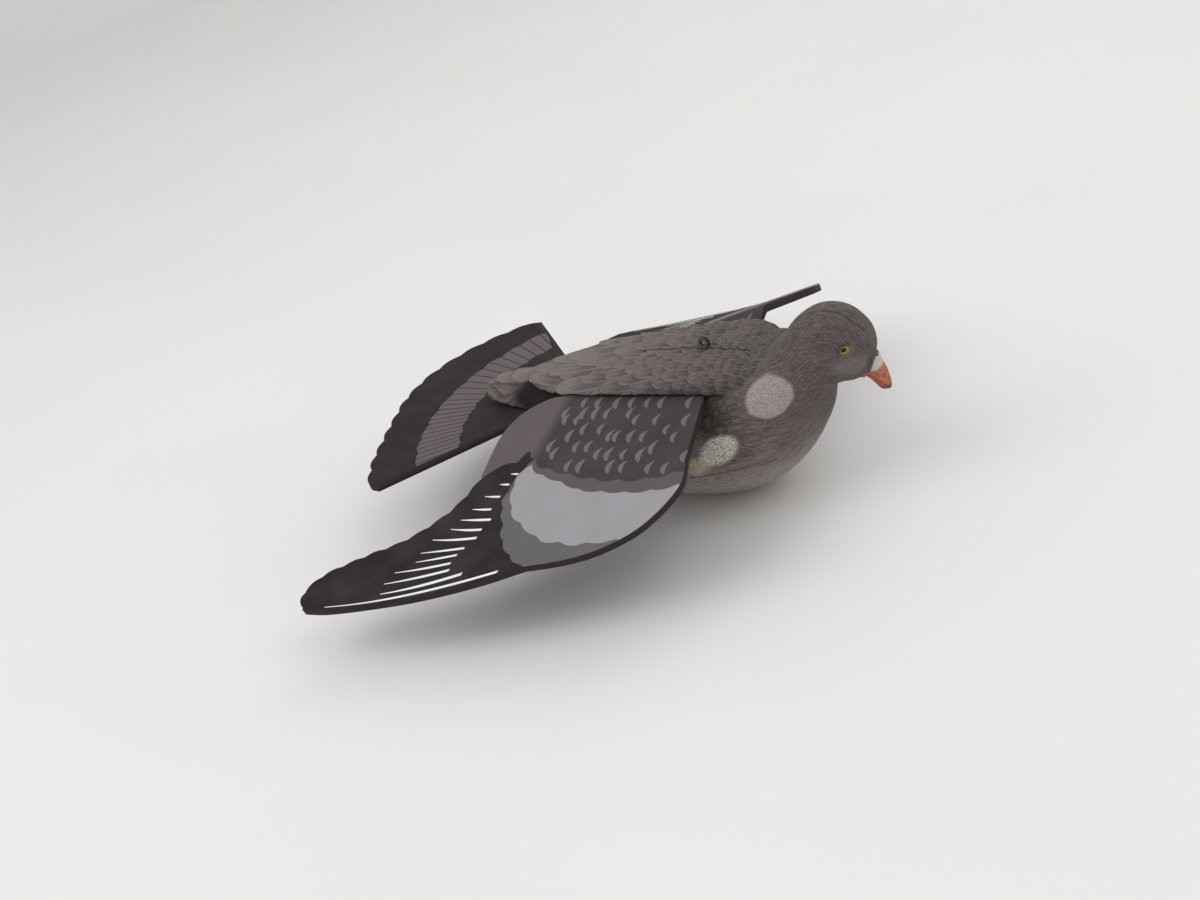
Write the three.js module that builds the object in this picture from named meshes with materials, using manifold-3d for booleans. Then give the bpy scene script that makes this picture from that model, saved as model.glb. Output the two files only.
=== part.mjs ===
// Pigeon decoy: a moulded bird body with loose foam wings and a foam tail fan pushed into slots.
// Millimetres. +X points to the bill, +Y to the bird's left, +Z up. The origin lies in the flat
// spot that the belly rests on, about halfway along the body.

import * as THREE from 'three';
import { mergeVertices } from 'three/addons/utils/BufferGeometryUtils.js';
import { LoftGeometry } from 'three/addons/geometries/LoftGeometry.js';
import Module from 'manifold-3d';

const wasm = await Module();
wasm.setup();

// Driving dimensions

const bodyLength = 290;          // tail stub to bill tip

const foamThickness = 5;         // wings and tail fan are cut from one foam sheet
const slotPlay = 0.8;            // air round the foam inside its slots
const slotToe = 3;               // degrees, the slots close in toward the tail
const slotPitch = 1.6;           // degrees, the slots rise toward the head
const slotMouth = 6.4;           // how far the slots open outboard, out through the side

const wingReach = 184;           // root to the outermost point, square to the body
const wingTabFront = 18;         // how far the wing's root tab goes in at its front
const wingTabRear = 7;           // and at its rear, where the body is narrow
const wingBend = 10;             // length over which the foam bends down at the mouth of its slot
const featherNotch = 1.5;        // depth of the scallops between the wing's long feathers

const tailRadius = 165;          // tail fan, from its apex to the middle of the rim
const tailHalfAngle = 44.4;      // degrees from the middle line to each corner, seen from the apex
const tailTabSetback = 12;       // the blunt front of the fan's tab, behind the apex
const tailTabHalf = 20;          // half the tab's width
const tailSwing = 0.8;           // degrees, the fan sits a little askew, toward the bird's right
const tailCornerRadius = 6;
const tailScallop = 2.2;         // height of the feather tips on the rim
const tailFeathers = 12;

const lugRadius = 2.9;           // ring on the back, middle of its wire
const lugWire = 1.3;
const lugFootHeight = 1.4;       // the ring stands on a short foot, wider at the back's surface
const lugFootRadius = 2.4;
const lugFootSink = 1.5;         // how far the foot reaches down into the back
const eyeBall = 8;               // radius of the eye's surface, of which a low cap shows

// How each wing hangs beyond its slot, in degrees and millimetres: the foam is soft, so each side
// takes its own set.
const rightSet = { droop: 14, twist: 0, tipLift: 0 };
const leftSet = { droop: 19, twist: 13, tipLift: 18 };

// The body's shape, in hundredths of its length

const unit = bodyLength / 100;

// Stations from the tail end of the trunk to the forehead: x and z of the back, x and z of
// the belly, half the width, and how square the section is.
const trunk = [
  { back: [-37.0, 27.0], belly: [-37.4, 24.8], half: 1.2, above: 2.0, below: 2.0 },
  { back: [-31.0, 28.0], belly: [-33.2, 18.0], half: 5.2, above: 2.0, below: 2.0 },
  { back: [-20.5, 29.6], belly: [-25.0, 8.0], half: 10.6, above: 2.1, below: 1.9 },
  { back: [-9.0, 31.8], belly: [-13.4, 1.6], half: 14.5, above: 2.2, below: 1.8 },
  { back: [2.0, 32.8], belly: [-1.4, -0.6], half: 16.4, above: 2.3, below: 1.7 },
  { back: [11.5, 33.4], belly: [9.8, -0.7], half: 17.0, above: 2.5, below: 1.65 },
  { back: [18.8, 33.7], belly: [21.0, 2.6], half: 16.9, above: 3.0, below: 1.7 },
  { back: [23.6, 34.0], belly: [29.8, 8.9], half: 15.8, above: 3.3, below: 1.85 },
  { back: [27.4, 35.2], belly: [35.9, 16.8], half: 13.6, above: 2.6, below: 2.0 },
  { back: [30.6, 37.4], belly: [38.2, 22.6], half: 10.4, above: 2.3, below: 2.0 },
  { back: [34.2, 41.0], belly: [39.6, 25.6], half: 8.6, above: 2.0, below: 2.0 },
  { back: [39.4, 43.6], belly: [42.8, 27.0], half: 8.2, above: 2.0, below: 2.0 },
  { back: [44.7, 43.1], belly: [45.6, 27.4], half: 7.3, above: 2.0, below: 2.0 },
  { back: [48.7, 40.1], belly: [47.9, 28.7], half: 5.1, above: 2.0, below: 2.0 },
  { back: [50.2, 36.7], belly: [49.6, 32.0], half: 2.4, above: 2.0, below: 2.0 },
  { back: [50.3, 34.9], belly: [50.2, 33.9], half: 0.4, above: 2.0, below: 2.0 },
];

// The folded wings lie on the back as one shelf: x, top, ledge height, half the width, and how
// round its section is: 1 gives a round vault, less a flatter one with fuller shoulders.
const shelf = [
  { x: -34.6, top: 30.3, ledge: 29.6, half: 1.5, round: 1.0 },
  { x: -33.2, top: 30.6, ledge: 29.6, half: 4.6, round: 1.0 },
  { x: -29.8, top: 31.0, ledge: 29.8, half: 7.4, round: 1.0 },
  { x: -25.4, top: 31.5, ledge: 30.1, half: 9.9, round: 1.0 },
  { x: -20.0, top: 32.1, ledge: 30.6, half: 12.0, round: 1.0 },
  { x: -10.0, top: 33.2, ledge: 31.1, half: 13.3, round: 0.85 },
  { x: 4.0, top: 34.3, ledge: 31.6, half: 14.3, round: 0.6 },
  { x: 13.0, top: 34.5, ledge: 31.8, half: 14.6, round: 0.45 },
  { x: 18.2, top: 34.4, ledge: 31.7, half: 14.6, round: 0.45 },
  { x: 22.4, top: 33.9, ledge: 31.2, half: 13.4, round: 0.5 },
  { x: 25.6, top: 32.8, ledge: 30.5, half: 9.6, round: 0.6 },
  { x: 27.6, top: 31.4, ledge: 30.0, half: 4.0, round: 0.75 },
];

// The tail stub, a low tapering roof, in the same values.
const stub = [
  { x: -48.9, top: 26.3, ledge: 25.5, half: 0.9, round: 1.1 },
  { x: -48.2, top: 27.1, ledge: 25.0, half: 2.4, round: 1.1 },
  { x: -46.0, top: 28.0, ledge: 24.6, half: 3.8, round: 1.1 },
  { x: -41.5, top: 29.1, ledge: 24.0, half: 5.1, round: 1.1 },
  { x: -35.5, top: 30.0, ledge: 23.4, half: 6.2, round: 1.1 },
  { x: -28.0, top: 30.8, ledge: 23.2, half: 7.4, round: 1.1 },
  { x: -20.0, top: 31.0, ledge: 23.2, half: 8.2, round: 1.1 },
];

// Feather tips that lie over the stub: x of the tip and half the width.
const stubFeathers = [
  { tip: -45.2, half: 3.6 },
  { tip: -40.3, half: 4.4 },
];
const featherRise = 0.3;         // how much each lies above the one below it

const bill = [
  { at: [47.0, 30.3], half: 2.7, tall: 3.3 },
  { at: [48.4, 29.7], half: 2.2, tall: 2.9 },
  { at: [49.4, 28.3], half: 1.7, tall: 2.35 },
  { at: [50.1, 26.7], half: 1.3, tall: 1.9 },
  { at: [50.6, 25.3], half: 1.0, tall: 1.5 },
  { at: [50.9, 24.5], half: 0.6, tall: 1.0 },
  { at: [50.95, 24.2], half: 0.2, tall: 0.35 },
];
const cereHalf = [1.2, 1.8, 1.7]; // the soft swelling at the root of the bill

const slotMiddle = new THREE.Vector3(-1.9, 13.05, 31.0).multiplyScalar(unit);
const tailApex = new THREE.Vector3(-18.8, 1.7, 22.8).multiplyScalar(unit);
const eyeCentre = new THREE.Vector3(44.9, 4.4, 36.1).multiplyScalar(unit);
const cereAt = new THREE.Vector3(49.5, 0, 31.5).multiplyScalar(unit);
const lugFootAt = new THREE.Vector3(11.6, 0, 34.45).multiplyScalar(unit);

// Fineness of the faceted surfaces

const trunkSteps = 46;
const trunkSides = 32;
const shelfSteps = 25;
const shelfSides = 14;
const stubSteps = 14;
const stubSides = 12;
const billSteps = 8;
const billSides = 14;
const wingSteps = 48;
const wingAcross = 6;
const wingFrontSteps = 40;
const innerFeatherSteps = 24;
const longFeatherSteps = 8;
const tailFeatherSteps = 5;
const eyeSides = 22;
const eyeRings = 14;
const cereSides = 14;
const cereRings = 10;
const lugSides = 18;
const wireSides = 8;

const degrees = Math.PI / 180;

// Helpers

function smoothRow(rows, pick, share) {
  const values = rows.map((row) => new THREE.Vector3(pick(row), 0, 0));
  return new THREE.CatmullRomCurve3(values, false, 'catmullrom', 0.5).getPoint(share).x;
}

function signedPower(value, power) {
  return Math.sign(value) * Math.abs(value) ** power;
}

function solidOf(geometry) {
  const bare = new THREE.BufferGeometry().copy(geometry);
  bare.deleteAttribute('normal');
  bare.deleteAttribute('uv');
  const merged = mergeVertices(bare, 1e-4);
  const vertProperties = new Float32Array(merged.attributes.position.array);
  const triVerts = new Uint32Array(merged.index.array);
  return new wasm.Manifold(new wasm.Mesh({ numProp: 3, vertProperties, triVerts }));
}

function geometryOf(solid) {
  const { vertProperties, triVerts } = solid.getMesh();
  const geometry = new THREE.BufferGeometry();
  geometry.setAttribute('position', new THREE.BufferAttribute(vertProperties, 3));
  geometry.setIndex(new THREE.BufferAttribute(triVerts, 1));
  geometry.computeVertexNormals();
  return geometry;
}

function loft(rings) {
  return solidOf(new LoftGeometry(rings, { closed: true, capStart: true, capEnd: true }));
}

// Body

function trunkRing(share) {
  const at = (pick) => smoothRow(trunk, pick, share) * unit;
  const back = new THREE.Vector3(at((row) => row.back[0]), 0, at((row) => row.back[1]));
  const belly = new THREE.Vector3(at((row) => row.belly[0]), 0, at((row) => row.belly[1]));
  const half = at((row) => row.half);
  const above = 2 / smoothRow(trunk, (row) => row.above, share);
  const below = 2 / smoothRow(trunk, (row) => row.below, share);
  const middle = back.clone().add(belly).multiplyScalar(0.5);
  const rise = back.clone().sub(belly).multiplyScalar(0.5);
  return Array.from({ length: trunkSides }, (_, side) => {
    const turn = (2 * Math.PI * side) / trunkSides;
    const power = Math.cos(turn) > 0 ? above : below;
    const point = middle.clone().addScaledVector(rise, signedPower(Math.cos(turn), power));
    point.y = -half * signedPower(Math.sin(turn), power);
    return point;
  });
}

// A ring with a round top and a flat underside.
function vaultRing(x, top, ledge, half, sides, power) {
  const points = [];
  for (let step = 0; step <= sides; step++) {
    const turn = (Math.PI * step) / sides;
    const rise = Math.sin(turn) ** power;
    const across = half * signedPower(Math.cos(turn), power);
    points.push(new THREE.Vector3(x, across, ledge + (top - ledge) * rise));
  }
  for (let step = 1; step < sides; step++) {
    points.push(new THREE.Vector3(x, half * (-1 + (2 * step) / sides), ledge));
  }
  return points;
}

function makeTrunk() {
  const rings = Array.from({ length: trunkSteps + 1 }, (_, step) => trunkRing(step / trunkSteps));
  return loft(rings);
}

function makeVault(rows, steps, sides, rise) {
  const rings = Array.from({ length: steps + 1 }, (_, step) => {
    const at = (pick) => smoothRow(rows, pick, step / steps) * unit;
    const [x, top, ledge, half] = ['x', 'top', 'ledge', 'half'].map((key) => at((row) => row[key]));
    const power = smoothRow(rows, (row) => row.round, step / steps);
    return vaultRing(x, top + rise, ledge, half + rise, sides, power);
  });
  return loft(rings);
}

// One feather over the stub: the stub's own form raised a little, inside a round-ended outline.
function makeStubFeather({ tip, half }, order) {
  const outline = new THREE.Shape();
  const end = tip * unit;
  const root = stub[stub.length - 1].x * unit;
  const width = half * unit;
  const straight = end + 1.6 * width;
  const shoulder = end + 0.5 * width;
  const blunt = 0.6 * width;
  outline.moveTo(root, -width);
  outline.lineTo(root, width);
  outline.lineTo(straight, width);
  outline.bezierCurveTo(shoulder, width, end, blunt, end, 0);
  outline.bezierCurveTo(end, -blunt, shoulder, -width, straight, -width);
  const upright = { depth: bodyLength, bevelEnabled: false, curveSegments: 8 };
  const prism = new THREE.ExtrudeGeometry(outline, upright);
  const raised = makeVault(stub, stubSteps, stubSides, featherRise * unit * (order + 1));
  return raised.intersect(solidOf(prism));
}

function makeBill() {
  const middles = bill.map(({ at }) => new THREE.Vector3(at[0], 0, at[1]));
  const path = new THREE.CatmullRomCurve3(middles, false, 'catmullrom', 0.5);
  const rings = Array.from({ length: billSteps + 1 }, (_, step) => {
    const share = step / billSteps;
    const centre = path.getPoint(share).multiplyScalar(unit);
    const along = path.getTangent(share);
    const across = new THREE.Vector3(-along.z, 0, along.x);
    const half = smoothRow(bill, (row) => row.half, share) * unit;
    const tall = smoothRow(bill, (row) => row.tall, share) * unit;
    return Array.from({ length: billSides }, (_, side) => {
      const turn = (2 * Math.PI * side) / billSides;
      const point = centre.clone().addScaledVector(across, tall * Math.cos(turn));
      point.y = -half * Math.sin(turn);
      return point;
    });
  });
  return loft(rings);
}

function makeEye(side) {
  const ball = new THREE.SphereGeometry(eyeBall, eyeSides, eyeRings);
  ball.translate(eyeCentre.x, side * eyeCentre.y, eyeCentre.z);
  return solidOf(ball);
}

function makeCere() {
  const swelling = new THREE.SphereGeometry(unit, cereSides, cereRings);
  swelling.scale(...cereHalf);
  swelling.translate(cereAt.x, cereAt.y, cereAt.z);
  return solidOf(swelling);
}

function makeLug() {
  const ring = new THREE.TorusGeometry(lugRadius, lugWire, wireSides, lugSides);
  ring.rotateX(Math.PI / 2);
  ring.translate(0, 0, lugFootHeight + lugRadius + lugWire / 2);
  const tall = lugFootHeight + lugFootSink + lugWire / 2;
  const foot = new THREE.CylinderGeometry(lugWire, lugFootRadius, tall, lugSides);
  foot.rotateX(Math.PI / 2);
  foot.translate(0, 0, tall / 2 - lugFootSink);
  const lug = solidOf(ring).add(solidOf(foot));
  return lug.translate(lugFootAt.x, lugFootAt.y, lugFootAt.z);
}

// Places something drawn flat, with +X forward and +Y outboard, at one wing slot. side is 1 on
// the bird's left and -1 on its right.
function slotPlacement(side) {
  const place = new THREE.Group();
  place.position.set(slotMiddle.x, side * slotMiddle.y, slotMiddle.z);
  place.rotation.set(0, -slotPitch * degrees, side * slotToe * degrees, 'ZYX');
  place.updateMatrixWorld();
  return place;
}

const rootChord = 0.578 * wingReach;
const handStart = 0.6 * wingReach; // beyond here the left wing's tip lifts

// The wing's root tab in its own plane, grown by an amount of air; inward is negative.
function tabPoints(air) {
  const half = rootChord / 2 - slotPlay + air;
  return [[-half, -wingTabRear - air], [half, -wingTabFront - air]].map(([x, y]) => new THREE.Vector2(x, y));
}

function makeWingSlot(side) {
  const [rear, front] = tabPoints(slotPlay);
  const outline = [rear, front, new THREE.Vector2(front.x, slotMouth), new THREE.Vector2(rear.x, slotMouth)];
  const shape = new THREE.Shape(outline.map((point) => point.setY(side * point.y)));
  const height = foamThickness + 2 * slotPlay;
  const slot = new THREE.ExtrudeGeometry(shape, { depth: height, bevelEnabled: false });
  slot.translate(0, 0, slotPlay - height);
  slot.applyMatrix4(slotPlacement(side).matrixWorld);
  return solidOf(slot);
}

function makeTailSlot() {
  const front = tailApex.x - tailTabSetback + slotPlay;
  const length = bodyLength / 2;
  const slot = new THREE.BoxGeometry(length, bodyLength / 2, foamThickness + 2 * slotPlay);
  slot.translate(front - length / 2, 0, tailApex.z - foamThickness / 2);
  return solidOf(slot);
}

function makeFloorCut() {
  const cut = new THREE.BoxGeometry(bodyLength, bodyLength, bodyLength);
  cut.translate(0, 0, -bodyLength / 2);
  return solidOf(cut);
}

function makeBody() {
  let body = makeTrunk().add(makeVault(shelf, shelfSteps, shelfSides, 0));
  body = body.add(makeVault(stub, stubSteps, stubSides, 0));
  stubFeathers.forEach((feather, order) => {
    body = body.add(makeStubFeather(feather, order));
  });
  body = body.add(makeBill()).add(makeCere()).add(makeLug());
  for (const side of [-1, 1]) {
    body = body.add(makeEye(side)).subtract(makeWingSlot(side));
  }
  return geometryOf(body.subtract(makeTailSlot()).subtract(makeFloorCut()));
}

// Foam wing: its outline in shares of wingReach, +X forward from the middle of the root chord
// and +Y outboard.

const leadingEdge = [
  [0.296, 0.0], [0.343, 0.25], [0.378, 0.4], [0.322, 0.56], [0.22, 0.66], [0.1, 0.718], [-0.045, 0.757],
];
const handEdge = [[-0.05, 0.76], [-0.21, 0.84], [-0.43, 0.92], [-0.71, 0.987], [-0.83, 1.0]];
const innerFeatherEdge = [[-0.289, 0.0], [-0.34, 0.02], [-0.415, 0.09], [-0.447, 0.2], [-0.425, 0.39]];
const longFeatherEdge = [
  [-0.425, 0.39], [-0.47, 0.54], [-0.58, 0.67], [-0.72, 0.755], [-0.85, 0.85], [-0.887, 0.94], [-0.85, 1.0],
];
const longFeathers = 10;
const softRoot = 0.09;           // share of the reach over which the twist builds up

function curveOf(points) {
  return new THREE.SplineCurve(points.map(([x, y]) => new THREE.Vector2(x, y).multiplyScalar(wingReach)));
}

// The points of a curve, pulled in between feather tips so that each feather ends in an arc.
function scalloped(curve, feathers, depth, steps) {
  return Array.from({ length: feathers * steps + 1 }, (_, step) => {
    const share = step / (feathers * steps);
    const point = curve.getPointAt(share);
    const along = curve.getTangentAt(share);
    const pull = depth * (1 - Math.abs(Math.sin(Math.PI * share * feathers)));
    return point.addScaledVector(new THREE.Vector2(along.y, -along.x), pull);
  });
}

// Where a line of outline points, ordered outward, stands at a distance y from the root.
function edgeAt(points, y) {
  const next = Math.max(1, points.findIndex((point) => point.y > y));
  const upper = y >= points[points.length - 1].y ? points.length - 1 : next;
  const [from, to] = [points[upper - 1], points[upper]];
  return THREE.MathUtils.mapLinear(Math.min(y, to.y), from.y, to.y, from.x, to.x);
}

// Bends one point of the flat wing to its set; y is the distance outboard, z the height below
// the upper face.
function hung(x, y, z, { droop, twist, tipLift }) {
  const turn = twist * degrees * THREE.MathUtils.smoothstep(y, 0, softRoot * wingReach);
  const beyond = Math.max(0, y - handStart) / (wingReach - handStart);
  const height = x * Math.sin(turn) + z * Math.cos(turn) + (tipLift * beyond * Math.max(0, -x)) / wingReach;
  const bent = THREE.MathUtils.clamp(y / wingBend + 0.5, 0, 1) * droop * degrees;
  const bendRadius = wingBend / (droop * degrees);
  const past = Math.max(0, y - wingBend / 2);
  const before = Math.min(y, -wingBend / 2);
  const out = before + bendRadius * Math.sin(bent) + past * Math.cos(bent);
  const down = bendRadius * (1 - Math.cos(bent)) + past * Math.sin(bent);
  return new THREE.Vector3(
    x * Math.cos(turn) - z * Math.sin(turn),
    out + height * Math.sin(bent),
    height * Math.cos(bent) - down,
  );
}

// A sheet whose corners run along rows, each from a rear point to a front point, lying in order
// from the root tab outward. It starts as a finely divided box.
function makeWing(side, set) {
  const front = [leadingEdge, handEdge].flatMap((points) => curveOf(points).getPoints(wingFrontSteps));
  const rear = [
    ...curveOf(innerFeatherEdge).getPoints(innerFeatherSteps),
    ...scalloped(curveOf(longFeatherEdge), longFeathers, featherNotch, longFeatherSteps),
  ];
  const [tabRear, tabFront] = tabPoints(0);
  const rows = [[tabRear, tabFront], [new THREE.Vector2(tabRear.x, 0), new THREE.Vector2(tabFront.x, 0)]];
  for (let step = 1; step <= wingSteps; step++) {
    const y = wingReach * Math.sin((Math.PI / 2) * (step / wingSteps));
    rows.push([new THREE.Vector2(edgeAt(rear, y), y), new THREE.Vector2(edgeAt(front, y), y)]);
  }
  const sheet = new THREE.BoxGeometry(1, 1, 1, wingAcross, rows.length - 1, 1);
  const position = sheet.attributes.position;
  for (let index = 0; index < position.count; index++) {
    const row = rows[Math.round((position.getY(index) + 0.5) * (rows.length - 1))];
    const flat = row[0].clone().lerp(row[1], 0.5 + side * position.getX(index));
    const point = hung(flat.x, flat.y, (position.getZ(index) - 0.5) * foamThickness, set);
    position.setXYZ(index, point.x, side * point.y, point.z);
  }
  return geometryOf(solidOf(sheet));
}

// Foam tail fan

// How far the rim is from the apex, in shares of tailRadius, from the bird's left corner to its
// right one. The foam has warped a little, and the two halves differ.
const tailRim = [0.973, 1.0, 1.02, 1.025, 1.007, 0.977, 0.97, 0.99, 1.012];
const tailTabRoot = [-27, -40];  // x where the side edges leave the tab, on the left and right

// The fan points to -X from its apex; side is 1 on the bird's left.
function tailShape() {
  const spread = tailHalfAngle * degrees;
  const reach = (share) => smoothRow(tailRim, (value) => value, share) * tailRadius;
  const polar = (radius, angle) => new THREE.Vector2(-radius * Math.cos(angle), radius * Math.sin(angle));
  const inset = tailCornerRadius / tailRadius;
  const steps = tailFeathers * tailFeatherSteps;
  const rim = Array.from({ length: steps + 1 }, (_, step) => {
    const share = step / steps;
    const dip = tailScallop * (1 - Math.abs(Math.sin(Math.PI * share * tailFeathers)));
    return polar(reach(share) - dip, THREE.MathUtils.lerp(spread - inset, inset - spread, share));
  });
  const leftRoot = new THREE.Vector2(tailTabRoot[0], tailTabHalf);
  const rightRoot = new THREE.Vector2(tailTabRoot[1], -tailTabHalf);
  const front = [-1, 1].map((side) => new THREE.Vector2(-tailTabSetback, side * tailTabHalf));
  const leftCorner = polar(reach(0) - tailCornerRadius, spread);
  const rightCorner = polar(reach(1) - tailCornerRadius, -spread);
  return new THREE.Shape([...front, leftRoot, leftCorner, ...rim, rightCorner, rightRoot]);
}

function makeTail() {
  const fan = new THREE.ExtrudeGeometry(tailShape(), { depth: foamThickness, bevelEnabled: false });
  fan.translate(0, 0, -foamThickness);
  return geometryOf(solidOf(fan));
}

// Assembly

const bodyPlastic = new THREE.MeshStandardMaterial({ color: 0x74696a, roughness: 0.85, metalness: 0 });
const wingFoam = new THREE.MeshStandardMaterial({ color: 0x5c5557, roughness: 0.8, metalness: 0 });
const tailFoam = new THREE.MeshStandardMaterial({ color: 0x3a3334, roughness: 0.8, metalness: 0 });

function named(name, geometry, material) {
  const mesh = new THREE.Mesh(geometry, material);
  mesh.name = name;
  return mesh;
}

const decoy = new THREE.Group();
decoy.add(named('body', makeBody(), bodyPlastic));

for (const [side, name, set] of [[-1, 'wing_right', rightSet], [1, 'wing_left', leftSet]]) {
  const place = slotPlacement(side);
  place.add(named(name, makeWing(side, set), wingFoam));
  decoy.add(place);
}

const tail = named('tail_fan', makeTail(), tailFoam);
tail.position.copy(tailApex);
tail.rotation.z = tailSwing * degrees;
decoy.add(tail);

export default decoy;
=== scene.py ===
import math
from functools import reduce
from types import SimpleNamespace

import bpy
import numpy as np
from mathutils import Matrix, Vector, noise
from mathutils.bvhtree import BVHTree
from mathutils.kdtree import KDTree


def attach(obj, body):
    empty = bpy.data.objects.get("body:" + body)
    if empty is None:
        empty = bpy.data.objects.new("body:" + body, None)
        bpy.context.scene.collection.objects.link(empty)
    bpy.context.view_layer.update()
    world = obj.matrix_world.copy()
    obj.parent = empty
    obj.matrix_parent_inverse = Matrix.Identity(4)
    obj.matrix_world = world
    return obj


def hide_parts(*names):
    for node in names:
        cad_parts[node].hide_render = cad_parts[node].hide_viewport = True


# A moulded pigeon decoy with printed foam wings and tail fan. Lengths are in millimetres unless
# a name says otherwise, and become metres where a mesh is made. +X is the bill's side, +Y the
# bird's left, +Z up.

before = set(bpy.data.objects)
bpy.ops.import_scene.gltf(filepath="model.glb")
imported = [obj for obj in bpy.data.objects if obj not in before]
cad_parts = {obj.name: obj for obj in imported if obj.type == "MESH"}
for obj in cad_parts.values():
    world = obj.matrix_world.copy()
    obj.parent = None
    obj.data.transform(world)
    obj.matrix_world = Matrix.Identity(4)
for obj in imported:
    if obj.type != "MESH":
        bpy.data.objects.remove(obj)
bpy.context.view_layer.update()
mm = 0.001
degree = math.pi / 180


# Shape helpers


def through(points, shares, openEnds=True):
    # A smooth curve through points, read at shares of its run.
    points = np.asarray(points, float)
    first = 2 * points[0] - points[1] if openEnds else points[0]
    last = 2 * points[-1] - points[-2] if openEnds else points[-1]
    padded = np.vstack([first, points, last])
    spot = np.asarray(shares, float) * (len(points) - 1)
    piece = np.clip(np.floor(spot).astype(int), 0, len(points) - 2)
    t = (spot - piece)[:, None]
    a, b, c, d = (padded[piece + k] for k in range(4))
    leave, arrive = (c - a) / 2, (d - b) / 2
    bend = 2 * b - 2 * c + leave + arrive
    ease = 3 * c - 3 * b - 2 * leave - arrive
    return bend * t**3 + ease * t**2 + leave * t + b


def signedPower(value, power):
    return np.sign(value) * np.abs(value) ** power


def smoothstep(value, low, high):
    t = np.clip((value - low) / (high - low), 0, 1)
    return t * t * (3 - 2 * t)


def runOf(line):
    # How far along a line each of its points lies.
    return np.concatenate([[0], np.cumsum(np.linalg.norm(np.diff(line, axis=0), axis=1))])


def aheadOf(line):
    ahead = np.gradient(line, axis=0)
    return ahead / np.linalg.norm(ahead, axis=1)[:, None]


def meshOf(name, points, faces, smooth=True):
    mesh = bpy.data.meshes.new(name)
    mesh.from_pydata([tuple(point) for point in np.asarray(points) * mm], [], faces)
    mesh.update()
    if smooth:
        mesh.shade_smooth()
    return mesh


def pieceOf(name, mesh):
    piece = bpy.data.objects.new(name, mesh)
    bpy.context.scene.collection.objects.link(piece)
    return piece


def volumeOf(points, faces):
    total = 0.0
    for face in faces:
        a = points[face[0]]
        for k in range(1, len(face) - 1):
            total += float(np.dot(a, np.cross(points[face[k]], points[face[k + 1]])))
    return total


def outward(points, faces):
    return faces if volumeOf(points, faces) > 0 else [face[::-1] for face in faces]


def gridFaces(rows, columns, ringRows=False, ringColumns=False):
    # Four-sided faces over a grid of points, kept row by row, closed to a ring where asked.
    corners = ((0, 0), (0, 1), (1, 1), (1, 0))
    return [
        tuple((i + di) % rows * columns + (j + dj) % columns for di, dj in corners)
        for i in range(rows if ringRows else rows - 1)
        for j in range(columns if ringColumns else columns - 1)
    ]


def closedTube(rings):
    # Rings of points joined along their length, with a fan at each end, facing outwards.
    count, around = rings.shape[:2]
    points = np.vstack([rings.reshape(-1, 3), rings[0].mean(0), rings[-1].mean(0)])
    faces = gridFaces(count, around, ringColumns=True)
    low, high, end = count * around, count * around + 1, (count - 1) * around
    for j in range(around):
        k = (j + 1) % around
        faces.append((low, k, j))
        faces.append((high, end + j, end + k))
    return points, outward(points, faces)


def joined(parts):
    points, faces, start = [], [], 0
    for somePoints, someFaces in parts:
        points.append(somePoints)
        faces += [tuple(index + start for index in face) for face in someFaces]
        start += len(somePoints)
    return np.vstack(points), faces


def coordinates(mesh):
    values = np.empty(len(mesh.vertices) * 3)
    mesh.vertices.foreach_get("co", values)
    return values.reshape(-1, 3) / mm


def setCoordinates(mesh, points):
    mesh.vertices.foreach_set("co", (np.asarray(points) * mm).ravel())
    mesh.update()


def addAttribute(mesh, name, values, kind="FLOAT"):
    layer = mesh.attributes.new(name, kind, "POINT")
    field = "vector" if kind == "FLOAT_VECTOR" else "value"
    layer.data.foreach_set(field, np.asarray(values, float).ravel())


def evaluated(piece):
    graph = bpy.context.evaluated_depsgraph_get()
    shown = piece.evaluated_get(graph)
    return bpy.data.meshes.new_from_object(shown, preserve_all_data_layers=True, depsgraph=graph)


# Material helpers


def linear(colour):
    shares = (value / 255 for value in colour)
    return tuple(c / 12.92 if c <= 0.04045 else ((c + 0.055) / 1.055) ** 2.4 for c in shares) + (1.0,)


def shaded(colour, share):
    return tuple(value * share for value in colour)


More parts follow.
